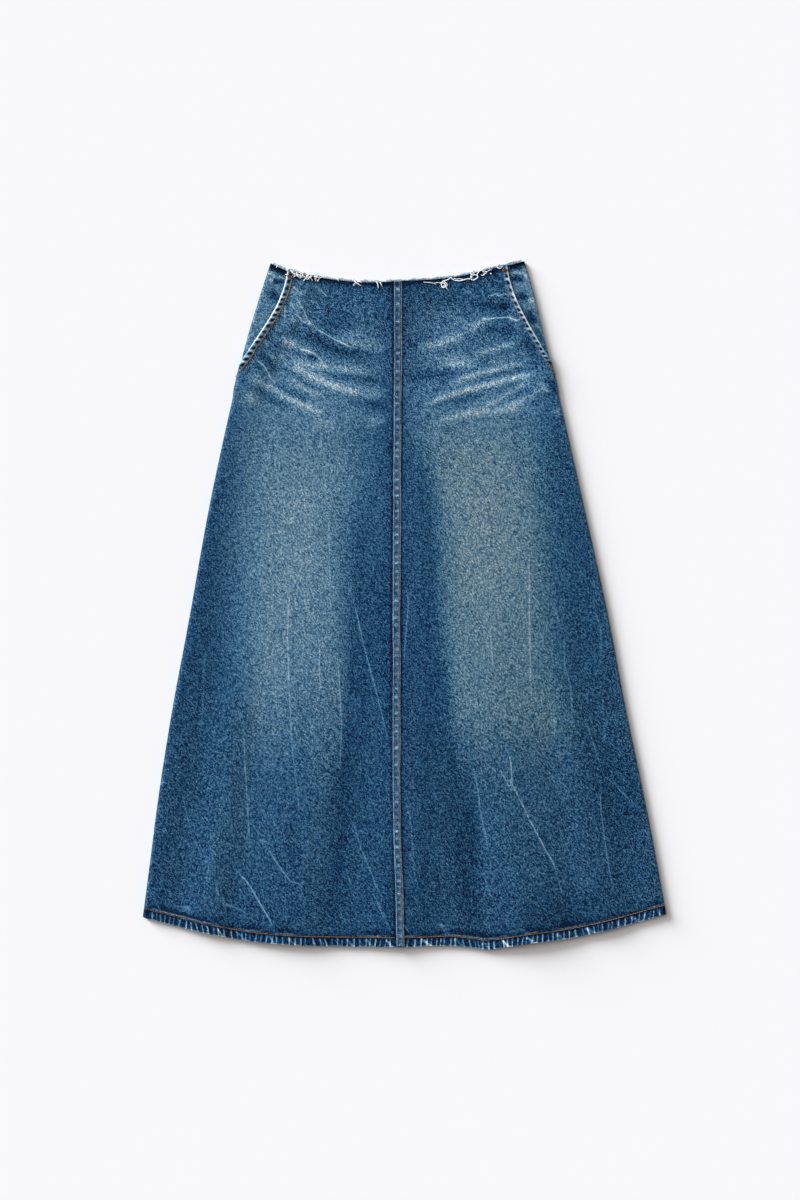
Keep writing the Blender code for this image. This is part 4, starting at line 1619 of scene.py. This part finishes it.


# The rumples and rubbed lines of each pocket facing: painted shade along the top under the fray
# and in the sunk hollows, and pale raised lines that are partly wear and partly painted highlight.
FACING_WEAR_AND_SHADE: dict[Side, tuple[Stroke, ...]] = {
    Side.RIGHT: (
        Stroke(((-192, 486), (-180, 480), (-168, 474)), (5, 6), -0.34, 0.0, 0.1),
        Stroke(((-195, 472), (-188, 474), (-185, 468), (-176, 469), (-170, 466)), (1.6, 1.6), 0.26, 0.3,
            0.1),
        Stroke(((-193, 466), (-187, 462)), (2.5, 2.5), 0.22, 0.3, 0.1),
        Stroke(((-188, 463), (-170, 460)), (4, 4), -0.26, -0.4, 0.2),
        Stroke(((-192, 435), (-187, 440), (-178, 447)), (9, 9), -0.24, -0.5, 0.3),
        Stroke(((-203, 425), (-200, 405), (-208, 385)), (6, 7), 0.05, 0.3),
        Stroke(((-224, 366), (-231, 345), (-237, 328)), (6, 6), -0.2, -0.2),
    ),
    Side.LEFT: (
        Stroke(((148, 484), (160, 486), (172, 491)), (5, 6), -0.38, 0.0, 0.1),
        Stroke(((149, 470), (158, 475), (169, 473), (178, 464)), (2, 2), 0.2, 0.4, 0.2),
        Stroke(((150, 466), (160, 466.5), (172, 463)), (3.5, 3.5), -0.3, -0.5, 0.3),
        Stroke(((158, 444), (166, 441), (178, 435)), (5, 5), -0.32, -0.5, 0.4),
        Stroke(((178, 440), (185, 430)), (5, 5), 0.16, 0.4, 0.3),
        Stroke(((172, 424), (181, 411), (192, 397)), (6, 7), -0.34, -0.5, 0.4),
        Stroke(((193, 420), (198, 402), (203, 380), (206, 360)), (3, 4), 0.22, 0.3, 0.1),
        Stroke(((186, 398), (198, 374), (208, 352)), (4, 3), -0.22, -0.3, 0.1),
    ),
}


@dataclass(frozen=True)
class PocketFacing:
    """The hip piece that shows beside the pocket mouth."""

    side: Side
    columns: int = 60
    rows: int = 110
    tuck: float = 0.03
    plain_tone: float = 0.44
    warmth: float = 0.5
    # Painted shade under the frayed waist.
    fray_shade: Band = Band(0, 6, -0.24)

    def build(self) -> Piece:
        """Builds the facing.

        Returns:
            The new piece.
        """
        down = FORM.top + (FORM.facing_end - FORM.top) * np.linspace(0, 1, self.rows)
        down, share = np.meshgrid(down, np.linspace(0, 1, self.columns), indexing="ij")
        sign, mouth_end = self.side.value, FORM.mouth.at[-1]
        edge = FORM.seam_at(sign, down) - FORM.gap / 2
        start = edge - FORM.mouth_inset(np.minimum(down, mouth_end)) - FORM.facing_under
        along = sign * (start + share * (edge - start))
        covered = smooth((down - mouth_end + self.tuck) / self.tuck) * (FORM.cloth + FORM.gap)
        points = FORM.point(Layer.FACING, along, down, covered)
        at = Spots.of(points)
        from_edge = (edge - np.abs(along)) / MM
        # Painted light and shade beside the side fold, painted shade under the fray, then the rumples.
        tone = self.plain_tone + all_bands(FOLD_LIGHT_AND_SHADE[self.side], from_edge)
        tone = tone + self.fray_shade(FORM.below_waist(down))
        for stroke in FACING_WEAR_AND_SHADE[self.side]:
            weight = stroke.weight(at)
            tone = tone + stroke.tone * weight
            points[..., 2] += stroke.rise * weight * MM * smooth((from_edge - 5) / 6)
        marks = plain_marks(tone, warmth=self.warmth)
        return sheet_piece(Layer.FACING, "pocket_facing", self.side, points, marks)


# ---- folded edges and seams ----


@dataclass(frozen=True)
class Puckers:
    """The uneven gathers that a row of stitches draws up along an edge, in metres."""

    length: float
    pitch: float
    seed: int
    unevenness: float = 0.28

    def wave(self, along: Array, shift: Array | float) -> Pair:
        """The gathers' shape.

        Args:
            along: Distances along the edge.
            shift: How far each place's gather leans along the edge, in pitches.

        Returns:
            A wave from 0 to 1, and each gather's own strength from 0 to 1.
        """
        rng = np.random.default_rng(self.seed)
        count = int(self.length / self.pitch) + 8
        steps = self.pitch * (1 + self.unevenness * rng.uniform(-1, 1, count))
        marks = np.concatenate([[0], np.cumsum(steps)]) - 2 * self.pitch
        strengths = rng.uniform(0.25, 1.0, count + 1)
        phase = np.interp(along, marks, np.arange(count + 1)) + shift
        wave = (1 + np.cos(2 * math.pi * phase)) / 2
        nearest = np.clip(np.rint(phase).astype(int), 0, count)
        return wave, strengths[nearest]


@dataclass(frozen=True)
class Hem:
    """Half of the front or back hem: three layers, drawn up by its stitches."""

    side: Side
    layer: Layer
    columns: int = 300
    edge_columns: int = 24
    thick: float = FORM.hem_thick - 0.0002
    rounding: float = 0.0012
    sinking: float = 0.00055
    plain_tone: float = 0.1
    inside_tone: float = 0.4
    nap: float = 0.9

    def section(self) -> tuple[Array, Array, Array]:
        """The hem's closed section.

        Returns:
            Shares of the hem's height from its top, depths under its outer face, and how
            far its bottom corners are drawn in.
        """
        face = np.linspace(0, 1, 11)
        bow = np.linspace(0, math.pi, 7)[1:-1]
        drop = np.concatenate([face, 1 + 0 * bow, face[::-1], [0.0]])
        round_depth = self.thick / 2 * (1 - np.cos(bow))
        depth = np.concatenate([0 * face, round_depth, self.thick + 0 * face, [0.0]])
        corner, middle = self.rounding * (face == 1), self.rounding * (1 - np.sin(bow))
        return drop, depth, np.concatenate([corner, middle, corner[::-1], [0.0]])

    def build(self) -> Piece:
        """Builds the hem.

        Returns:
            The new piece.
        """
        drop, depth, drawn_in = self.section()
        drop, column = np.meshgrid(drop, panel_columns(self.columns, self.edge_columns), indexing="ij")
        depth = np.broadcast_to(depth[:, None], drop.shape)
        down = FORM.hem_top + (drop * FORM.hem_depth - drawn_in[:, None]) / FORM.length
        sign = self.side.value
        edge = FORM.seam_at(sign, down) - FORM.gap / 2
        along = sign * column_along(column, FORM.gap / 2, edge)
        away = np.abs(along)
        clear = smooth((away - 0.006) / 0.004) * smooth((edge - away - 0.007) / 0.005)
        lean = 0.3 * np.sin(along / 0.024) + 0.2 * np.sin(along / 0.0093 + 1)
        gathers = Puckers(0.4, 0.0074, 5 + sign, 0.4).wave(away, lean * drop)
        slants = Puckers(0.4, 0.031, 9 + sign, 0.6).wave(along + 0.2, -0.4 * drop)
        outside = depth < self.thick / 2
        if self.layer is Layer.FRONT:
            wave, strength = gathers
            sunk = (1 - wave * strength) * clear * smooth(drop / 0.12) * self.sinking
            points = front_point(along, down, depth + np.where(outside, sunk, 0))
        else:
            points = FORM.point(Layer.BACK, along, down, depth)
        tone = np.where(outside, self.tone(along, drop, clear, gathers, slants), self.inside_tone)
        marks = plain_marks(tone, self.nap, 0.4 * smooth(tone / 0.5))
        node = f"{self.layer.value}_hem_{self.side.word}"
        return ribbon_piece(node, "denim_hem", points, marks)

    def tone(self, along: Array, drop: Array, clear: Array, gathers: Pair, slants: Pair) -> Array:
        """How pale the hem's outer face is: worn on its gathers and along its bottom.

        Args:
            along: Distances from the centre line.
            drop: Shares of the hem's height, from its top.
            clear: 1 away from the seams and 0 at them.
            gathers: The upright gathers.
            slants: The few slanting ones.

        Returns:
            The tones.
        """
        (wave, strength), (slant, slant_strength) = gathers, slants
        ridge = wave**9 * (0.35 + 0.65 * strength) * clear * smooth((drop - 0.12) / 0.2)
        slanted = slant**24 * slant_strength * clear * smooth((drop - 0.1) / 0.3)
        patches = 0.5 + 0.5 * np.sin(along / 0.0041 + 2 * np.sin(along / 0.011))
        bottom = smooth((drop - 0.9) / 0.1) * (0.5 + 0.5 * patches)
        tone = self.plain_tone + 0.8 * ridge + 0.72 * slanted + 0.46 * bottom + 0.05 * patches
        return tone - 0.06 * bell((drop - 0.2) / 0.2)


@dataclass(frozen=True)
class FrontSeam:
    """The felled seam down the centre front, drawn up between its two rows of stitches."""

    rows: int = 560
    half: float = FORM.fell_width / 2
    thick: float = FORM.turned_cloth
    between_rows: float = 0.0034
    swelling: float = 0.0005
    plain_tone: float = 0.36
    nap: float = 0.8
    # Painted shade under the frayed waist.
    fray_shade: Band = Band(0, 7, -0.22)

    def build(self) -> Piece:
        """Builds the seam.

        Returns:
            The new piece.
        """
        over = np.linspace(-1, 1, 15)
        across = np.concatenate([over, over[::-1][[0, 4, 10, 14]], [over[0]]])
        crown = 0.9 - 0.5 * np.abs(over) ** 4
        crown[[0, -1]] = 0.3
        above = self.thick * np.concatenate([crown, np.zeros(4), crown[:1]])
        down = FORM.top + (1 - FORM.top) * np.linspace(0, 1, self.rows)
        across, down = np.meshgrid(across, down, indexing="ij")
        above = np.broadcast_to(above[:, None], down.shape)
        travelled = down * FORM.length
        wave, strength = Puckers(1.0, 0.0112, 21).wave(travelled, 0)
        between = smooth((self.between_rows / self.half - np.abs(across)) * 5)
        swell = (wave * strength - 0.5) * self.swelling * between * (above > 0)
        wander = 0.0005 + 0.0004 * np.sin(travelled / 0.045) + 0.0003 * np.sin(travelled / 0.017 + 1)
        points = front_point(across * self.half + wander, down, -(FORM.gap + above + swell))
        left_worn, right_worn = Puckers(1.0, 0.031, 22).wave(travelled, 0)
        gathers = 0.06 * wave**2 * strength + 0.36 * wave**5 * strength - 0.03 * (1 - wave)
        # The left edge is worn pale; the right edge is worn pale and lifted further as painted light
        # against the seam's own shadow; the groove along the left edge is painted shade.
        left_edge = 0.3 * bell((across + 0.76) / 0.12) * (0.5 + 0.5 * left_worn)
        right_edge_wear_and_light = 0.46 * bell((across - 0.86) / 0.15) * (0.5 + 0.5 * right_worn)
        stitch_rows = 0.1 * bell((np.abs(across) - 0.62) / 0.12)
        groove_shade = 0.5 * bell((across + 1.0) / 0.16)
        tone = self.plain_tone + gathers * between + left_edge + right_edge_wear_and_light - stitch_rows - groove_shade
        tone = tone + self.fray_shade(FORM.below_waist(down))
        return ribbon_piece("front_seam", "denim_seam", points, plain_marks(tone, self.nap))


@dataclass(frozen=True)
class PocketEdge:
    """The turned and stitched edge of a pocket mouth, worn white along its fold."""

    side: Side
    rows: int = 150
    width: float = 0.008
    thick: float = FORM.turned_cloth
    last: float = 0.16
    patch_pitch: float = 0.0085
    swelling: float = 0.0004
    nap: float = 0.5
    inward: Row = (0.0, 0.04, 0.12, 0.25, 0.4, 0.55, 0.7, 0.85, 1.0)
    crown: Row = (0.45, 0.8, 1.0, 1.0, 0.95, 0.85, 0.6, 0.3, 0.06)
    # Painted shade under the frayed waist.
    fray_shade: Band = Band(0, 4, -0.34)
    left_scuff: Band = Band(47, 4, 0.5)

    @property
    def plain_tone(self) -> float:
        """How pale the edge is between its fold and its stitches."""
        return 0.42 if self.side is Side.RIGHT else 0.36

    def build(self) -> Piece:
        """Builds the edge.

        Returns:
            The new piece.
        """
        inset = np.array([*self.inward, *self.inward[::-1], self.inward[0]])
        above = self.thick * np.array([*self.crown, *[0.0] * len(self.inward), self.crown[0]])
        down = FORM.top + (self.last - FORM.top) * np.linspace(0, 1, self.rows)
        inset, down = np.meshgrid(inset, down, indexing="ij")
        above = np.broadcast_to(above[:, None], down.shape)
        sign = self.side.value
        edge = FORM.seam_at(sign, down) - FORM.mouth_inset(down) - FORM.gap / 2
        along = sign * (edge - inset * self.width)
        travelled = down * FORM.length
        wave, strength = Puckers(0.2, self.patch_pitch, 31 + sign).wave(travelled, 0.3 * inset)
        between = smooth((inset - 0.06) / 0.2) * smooth((0.95 - inset) / 0.2)
        swell = (wave * strength - 0.5) * self.swelling * between * (above > 0)
        points = front_point(along, down, -(FORM.gap + above + swell))
        fold = bell((inset - 0.07) / 0.16) * (1 - 0.6 * smooth((travelled - 0.1) / 0.04))
        dark = (1 - wave) ** 2 * (0.3 + 0.7 * strength) * bell((inset - 0.52) / 0.26)
        tone = self.plain_tone + 0.7 * fold + 0.42 * wave**2 * strength * between - 0.7 * dark
        if self.side is Side.LEFT:
            tone = tone + self.left_scuff(travelled / MM) * bell((inset - 0.2) / 0.3)
        tone = tone + self.fray_shade(FORM.below_waist(down))
        marks = plain_marks(tone, self.nap)
        return ribbon_piece(f"pocket_edge_{self.side.word}", "denim_seam", points, marks)


# ---- sewing ----


@dataclass(frozen=True)
class StitchRow:
    """A row of single stitches along a line on the front, in metres.

    The line is read by shares of its length. A stitch takes up a share, bite, of its pitch,
    and the row lies above the cloth's outer face.
    """

    name: str
    line: Callable[[Array], Pair]
    length: float
    above: float
    yarn: Yarn
    pitch: float
    radius: float
    bite: float
    seed: int
    arch: Row = (-0.0004, 0.0001, 0.0003, 0.0001, -0.0004)
    jog: float = 0.00015

    def build(self) -> Piece:
        """Builds the row.

        Returns:
            The new piece.
        """
        rng = np.random.default_rng(self.seed)
        count = int(self.length / self.pitch)
        share = (np.arange(count)[:, None] + np.linspace(0.0, self.bite, len(self.arch))) / count
        along, down = self.line(share)
        jog = rng.uniform(-1, 1, (count, 1)) * self.jog
        paths = front_point(along + jog, down, -(self.above + np.array(self.arch)))
        piece = tubes(self.name, paths, [self.radius] * count, 1)
        dress(piece, "denim_seam", self.yarn.value)
        return piece


@dataclass(frozen=True)
class Sewing:
    """The stitching of one side of the front, and the bar tack of its pocket."""

    side: Side
    seam_row: float = 0.0037
    hem_row: float = 0.001
    right_pocket_row: float = 0.0082
    left_pocket_row: float = 0.0058
    pocket_row_end: float = 0.1745
    mouth_end: float = 0.178
    on_seam: float = FORM.gap + FORM.turned_cloth + 0.0001
    on_edge: float = FORM.gap + 0.0005
    on_hem: float = 0.0001
    hem_stitched: float = 0.36
    pocket_stitched: float = 0.155
    tack_threads: int = 15
    tack_pitch: float = 0.0005
    tack_length: float = 0.003
    tack_radius: float = 0.00034

    def build(self) -> list[Piece]:
        """Builds the rows of stitches and the bar tack.

        Returns:
            The new pieces.
        """
        sign, word = self.side.value, self.side.word
        seam_yarn = Yarn.SEAM_RIGHT if self.side is Side.RIGHT else Yarn.SEAM_LEFT
        seam, hem, pocket = FORM.length - FORM.fray, self.hem_stitched, self.pocket_stitched
        rows = (
            ("front_seam", self.seam_line, seam, self.on_seam, seam_yarn, 0.0027, 0.00044, 0.66, 3),
            ("hem", self.hem_line, hem, self.on_hem, Yarn.HEM, 0.0033, 0.00048, 0.8, 7),
            ("pocket", self.pocket_line, pocket, self.on_edge, Yarn.POCKET, 0.0031, 0.00054, 0.78, 11),
        )
        stitched = (StitchRow(f"stitches_{row}_{word}", *sizes, seed + sign) for row, *sizes, seed in rows)
        return [*(row.build() for row in stitched), self.bar_tack()]

    def seam_line(self, share: Array) -> Pair:
        """A stitch line of the felled seam, from the waist to the hem."""
        return self.side.value * self.seam_row + 0 * share, FORM.top + (1 - FORM.top) * share

    def hem_line(self, share: Array) -> Pair:
        """The hem's stitch line, from the felled seam to the side seam.

        Args:
            share: Shares of its length.

        Returns:
            Distances from the centre line, and shares of the way down.
        """
        down = FORM.hem_top + self.hem_row / FORM.length + 0 * share
        start, end = FORM.fell_width / 2 + 0.0004, FORM.seam_at(self.side.value, down) - 0.001
        return self.side.value * (start + (end - start) * share), down

    def pocket_line(self, share: Array) -> Pair:
        """The pocket's stitch line, from the waist straight on to the side seam.

        Args:
            share: Shares of its length.

        Returns:
            Distances from the centre line, and shares of the way down.
        """
        down = FORM.top + 0.003 / FORM.length + (self.pocket_row_end - FORM.top) * share
        row = self.right_pocket_row if self.side is Side.RIGHT else self.left_pocket_row
        mouth = Profile((*FORM.mouth.at[:-1], self.mouth_end), (*FORM.mouth.value[:-1], -row))
        return self.side.value * (FORM.seam_at(self.side.value, down) - (mouth(down) + row)), down

    def bar_tack(self) -> Piece:
        """The dense bar of thread at the top of a pocket mouth.

        Returns:
            The new piece.
        """
        sign, top = self.side.value, FORM.top + 0.0055 / FORM.length
        down = np.array([0.0, self.tack_length, self.tack_length, 0.0]) / FORM.length + top
        lift = FORM.gap + FORM.turned_cloth + np.array([0.0, 0.0007, 0.0007, 0.0])
        paths = []
        for order in range(self.tack_threads):
            inset = FORM.mouth_inset(down) + 0.001 + self.tack_pitch * order
            uneven = down + 0.0004 * (order % 2) / FORM.length
            paths.append(front_point(sign * (FORM.seam_at(sign, down) - inset), uneven, -lift))
        piece = tubes(f"bar_tack_{self.side.word}", paths, [self.tack_radius] * len(paths), 1)
        dress(piece, "denim_seam", Yarn.POCKET.value)
        return piece


# ---- the frayed waist ----


@dataclass(frozen=True)
class Tangle:
    """A knot of loose white yarns in an oval on the front, in millimetres."""

    centre: Point
    size: Point
    count: int


@dataclass(frozen=True)
class LooseYarn:
    """One loose white yarn on the front, in millimetres."""

    points: Line
    radius: float = 0.5


LOOSE_YARNS: tuple[LooseYarn, ...] = (
    LooseYarn(((-168, 477.5), (-165, 480.5), (-161.5, 480), (-157.5, 480), (-153.5, 478.5), (-150, 475),
        (-146, 474)), 0.75),
    LooseYarn(((-162, 475), (-157.5, 473), (-154, 472), (-151, 468.5), (-147.5, 466)), 0.75),
    LooseYarn(((-152, 477), (-153, 473), (-150, 470), (-145, 467.5)), 0.7),
    LooseYarn(((-144, 475.5), (-145, 472), (-141.5, 468.5), (-138.5, 465)), 0.7),
    LooseYarn(((-136.5, 473.5), (-138.5, 469), (-135, 465)), 0.7),
    LooseYarn(((-132, 472), (-134.5, 468.5), (-132, 465)), 0.6),
    LooseYarn(((-129.5, 468.5), (-126, 469), (-121.5, 467), (-118.5, 468)), 0.7),
    LooseYarn(((-127, 467.5), (-127, 465), (-126, 462)), 0.6),
    LooseYarn(((-125, 465), (-124, 463), (-122.5, 461.5)), 0.6),
    LooseYarn(((-100, 468), (-96, 465.5), (-93.5, 462.5)), 0.7),
    LooseYarn(((-71.5, 463), (-69, 460.5), (-66, 458.5), (-62, 456)), 0.8),
    LooseYarn(((-68, 461.5), (-64, 462), (-60.5, 460)), 0.6),
    LooseYarn(((-40.5, 462), (-38.5, 459.5), (-37.5, 456), (-37, 452.5)), 0.75),
    LooseYarn(((-35, 461.5), (-33.5, 458.5), (-31.5, 454.5)), 0.7),
    LooseYarn(((-182.5, 481.5), (-181, 484), (-180, 486)), 0.6),
    LooseYarn(((27, 461), (34, 460.5), (41, 459.5), (45, 457)), 0.5),
    LooseYarn(((41, 459), (48, 460.5), (53, 459.5), (55, 463), (58, 463.5), (62.5, 465), (65.5, 467.5),
        (68.5, 465.5), (72, 463.5), (79, 463), (85, 464.5), (91, 466), (94, 465.5), (98, 464),
        (103.5, 467), (104.5, 470), (101, 471.5), (97.5, 471), (94, 468.5), (98, 467)), 0.7),
    LooseYarn(((53, 460), (52.5, 457), (55, 454), (58, 454), (61, 457), (58.5, 461), (55.5, 462)), 0.65),
    LooseYarn(((55, 461), (58, 458), (60, 453), (63, 449.5)), 0.6),
    LooseYarn(((69.5, 467), (74.5, 465.5), (79, 466), (84, 465)), 0.55),
    LooseYarn(((105.5, 469), (103.5, 472), (106.5, 476.5), (110, 478), (112.5, 475.5), (116.5, 472)),
        0.65),
    LooseYarn(((134, 486.5), (132.5, 483.5), (134.5, 480), (138.5, 481.5)), 0.65),
)


@dataclass(frozen=True)
class FrayedWaist:
    """The raw waist edge: cut blue ends, and white yarns that have come loose along it."""

    end_spacing: float = 0.00015
    end_length: tuple[float, float] = (0.002, 0.0046)
    end_radius: tuple[float, float] = (0.00026, 0.00044)
    zip_clear: float = 0.0014
    tangles: tuple[Tangle, ...] = (
        Tangle((-160, 477), (5, 2.6), 10),
        Tangle((-149, 472), (5, 3.4), 12),
        Tangle((-138, 469), (5, 3.0), 10),
        Tangle((-126, 467), (4, 2.0), 4),
        Tangle((-66, 460.5), (3, 1.4), 3),
        Tangle((56, 459), (3.0, 3.5), 4),
        Tangle((99, 468.5), (3.4, 3.0), 7),
        Tangle((118, 476), (6, 3.0), 6),
        Tangle((136, 482), (2.5, 2.5), 4),
    )
    yarns: tuple[LooseYarn, ...] = LOOSE_YARNS

    def reach(self, side: Side) -> float:
        """How far the frayed edge runs from the centre line."""
        return float(FORM.seam_at(side.value, 0.0) - FORM.arc_length(0.0))

    def cut_ends(self, layer: Layer, start: float, end: float, seed: int) -> Pair:
        """Short cut yarns that stand up from the edge.

        Args:
            layer: The front or the back.
            start: Where the edge starts, along the cloth.
            end: Where it ends.
            seed: The seed for their unevenness.

        Returns:
            The yarns' paths and radii.
        """
        rng = np.random.default_rng(seed)
        count = int((end - start) / self.end_spacing)
        rise = np.linspace(0, 1, 4)
        along = rng.uniform(start, end, (count, 1))
        long_wave = 0.75 + 0.25 * np.sin(along / 0.011) * np.sin(along / 0.0037 + 1)
        tip = rng.uniform(*self.end_length, (count, 1)) * long_wave
        root = rng.uniform(-0.0002, 0.001, (count, 1))
        down = FORM.top + (root - tip * rise) / FORM.length
        along = along + rng.normal(0, 0.0007, (count, 1)) * rise**2
        if layer is Layer.FRONT:
            paths = front_point(along, down, 0.0007 - rise * rng.uniform(0.0002, 0.0014, (count, 1)))
        else:
            paths = FORM.point(Layer.BACK, along, down, 0.0007)
        return paths, rng.uniform(*self.end_radius, count)

    def tangled(self, tangle: Tangle, rng: np.random.Generator) -> tuple[list[Array], list[float]]:
        """The yarns of a tangle: each wanders as its heading turns.

        Args:
            tangle: The tangle.
            rng: Where its unevenness comes from.

        Returns:
            The yarns' points on the front in millimetres, and their radii.
        """
        steps, paths, radii = 10, [], []
        for _ in range(tangle.count):
            start = np.array(tangle.centre) + rng.uniform(-1, 1, 2) * tangle.size
            heading = rng.uniform(0, 2 * math.pi)
            turning = rng.uniform(-0.75, 0.75) + rng.normal(0, 0.5, steps).cumsum() * 0.35
            headings = heading + turning.cumsum() * 0.6
            stride = rng.uniform(0.45, 1.0)
            run = np.column_stack([np.cos(headings), 0.7 * np.sin(headings)]) * stride
            paths.append(start + run.cumsum(axis=0))
            radii.append(rng.uniform(0.42, 0.62))
        return paths, radii

    def loose_yarns(self, seed: int) -> tuple[list[Array], list[float]]:
        """White yarns that lie curled along the front edge.

        Args:
            seed: The seed for their unevenness.

        Returns:
            The yarns' paths and radii.
        """
        rng = np.random.default_rng(seed)
        flat: list[Array] = []
        radii: list[float] = []
        for yarn in self.yarns:
            knots = np.array(yarn.points, float)
            at = tuple(float(i) for i in range(len(knots)))
            fine = np.linspace(0, at[-1], 4 * len(knots))
            flat.append(np.column_stack([Profile(at, tuple(knots[:, axis]))(fine) for axis in (0, 1)]))
            radii.append(yarn.radius)
        for tangle in self.tangles:
            paths, widths = self.tangled(tangle, rng)
            flat.extend(paths)
            radii.extend(widths)
        placed = []
        for path in flat:
            along, down = FORM.under(path[:, 0] * MM, path[:, 1] * MM)
            arch = np.sin(math.pi * np.linspace(0.05, 0.95, len(path)))
            height = (0.4 + rng.uniform(0.3, 1.4) * arch) * MM
            placed.append(front_point(along, down, -height))
        return placed, [radius * MM for radius in radii]

    def build(self) -> list[Piece]:
        """Builds the frayed edges.

        Returns:
            The new pieces.
        """
        right, left = self.reach(Side.RIGHT), self.reach(Side.LEFT)
        edges = (
            ("waist_fray_front", Layer.FRONT, -right, left, 41),
            ("waist_fray_back_right", Layer.BACK, -right, -self.zip_clear, 42),
            ("waist_fray_back_left", Layer.BACK, self.zip_clear, left, 43),
        )
        pieces = []
        for node, layer, start, end, seed in edges:
            piece = tubes(f"cut_ends_{node[6:]}", *self.cut_ends(layer, start, end, seed))
            dress(piece, "frayed_yarn", Yarn.CUT.value)
            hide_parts(node)
            pieces.append(piece)
        loose = tubes("loose_yarns_front", *self.loose_yarns(51))
        dress(loose, "frayed_yarn", Yarn.LOOSE.value)
        return [*pieces, loose]


# ---- the zip ----


def dress_zip() -> None:
    """Finishes the zip's tapes, slider and pull, whose solids keep their shape."""
    parts = ("tape_right", "tape_left", "slider", "pull")
    for part, finish in zip(parts, (Yarn.TAPE.value, Yarn.TAPE.value, METAL, METAL)):
        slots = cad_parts[f"zip_{part}"].data.materials
        slots.clear()
        slots.append(bpy.data.materials[finish.name])


# ---- the studio ----


@dataclass(frozen=True)
class Lamp:
    """A broad soft lamp: its elevation and spread in degrees, and its share of the light."""

    name: str
    elevation: float
    spread: float
    share: float
    colour: tuple[float, float, float] = (1.0, 1.0, 1.0)


@dataclass(frozen=True)
class Studio:
    """A pale floor, soft light from the upper left and a camera straight above."""

    floor_size: float = 12.0
    floor_colour: Colour = (244, 244, 246)
    camera_at: tuple[float, float, float] = (-0.0064, 0.0086, 3.5)
    view_height: float = 1.712
    sensor: float = 36.0
    lamps: tuple[Lamp, ...] = (
        Lamp("low_key", 17.0, 28.0, 0.55, (0.97, 1.0, 1.04)),
        Lamp("high_key", 48.0, 50.0, 0.26),
    )
    sky_share: float = 0.19
    sky_colour: tuple[float, float, float] = (1.11, 1.0, 0.91)
    bearing: float = 140.0
    light: float = 1.036

    def build(self) -> None:
        """Builds the floor, the lights and the camera."""
        self.floor()
        self.lights()
        self.camera()
        view = bpy.context.scene.view_settings
        view.view_transform = "Standard"
        view.look = "None"

    def floor(self) -> None:
        """The plain pale floor."""
        bm = bmesh.new()
        bmesh.ops.create_grid(bm, x_segments=1, y_segments=1, size=self.floor_size / 2)
        mesh = bpy.data.meshes.new("floor")
        bm.to_mesh(mesh)
        bm.free()
        material, sheet, shader = new_material("pale_floor")
        colour = (*linear(*self.floor_colour), 1)
        sheet.feed(shader, {"Base Color": colour, "Roughness": 1.0, "Specular IOR Level": 0.0})
        mesh.materials.append(material)
        show("floor", mesh)

    def lights(self) -> None:
        """The lamps and an even sky, which together light a level floor by self.light."""
        for lamp in self.lamps:
            sun = bpy.data.lights.new(lamp.name, "SUN")
            level = math.sin(math.radians(lamp.elevation))
            sun.energy = math.pi * self.light * lamp.share / level
            sun.angle = math.radians(lamp.spread)
            sun.color = lamp.colour
            tilt = math.radians(90 - lamp.elevation)
            show(lamp.name, sun).rotation_euler = (tilt, 0, math.radians(self.bearing + 90))
        world = bpy.data.worlds.new("soft_sky")
        world.use_nodes = True
        sky = world.node_tree.nodes["Background"]
        sky.inputs[0].default_value = (*self.sky_colour, 1)
        sky.inputs[1].default_value = self.light * self.sky_share
        bpy.context.scene.world = world

    def camera(self) -> None:
        """The camera, looking straight down."""
        data = bpy.data.cameras.new("camera")
        data.sensor_width = self.sensor
        data.lens = self.sensor * self.camera_at[2] / self.view_height
        camera = show("camera", data)
        camera.location = self.camera_at
        bpy.context.scene.camera = camera


def report(piece: Piece) -> None:
    """Logs a piece."""
    log.info("%s: %d faces", piece.name, len(piece.data.polygons))


def main() -> None:
    """Builds every sub-assembly in order."""
    Studio().build()
    make_finishes()
    panels: dict[str, Piece] = {}
    pieces: list[Piece] = []
    for side in Side:
        panels[f"front_{side.word}"] = FrontPanel(side).build()
        panels[f"back_{side.word}"] = BackPanel(side).build()
        panels[f"facing_{side.word}"] = PocketFacing(side).build()
        pieces.append(PocketEdge(side).build())
        pieces.extend(Hem(side, layer).build() for layer in (Layer.FRONT, Layer.BACK))
    pieces.append(FrontSeam().build())
    for side in Side:
        pieces.extend(Sewing(side).build())
    pieces.extend(FrayedWaist().build())
    dress_zip()
    for piece in (*panels.values(), *pieces):
        report(piece)
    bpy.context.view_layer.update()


if __name__ == "__main__":
    main()
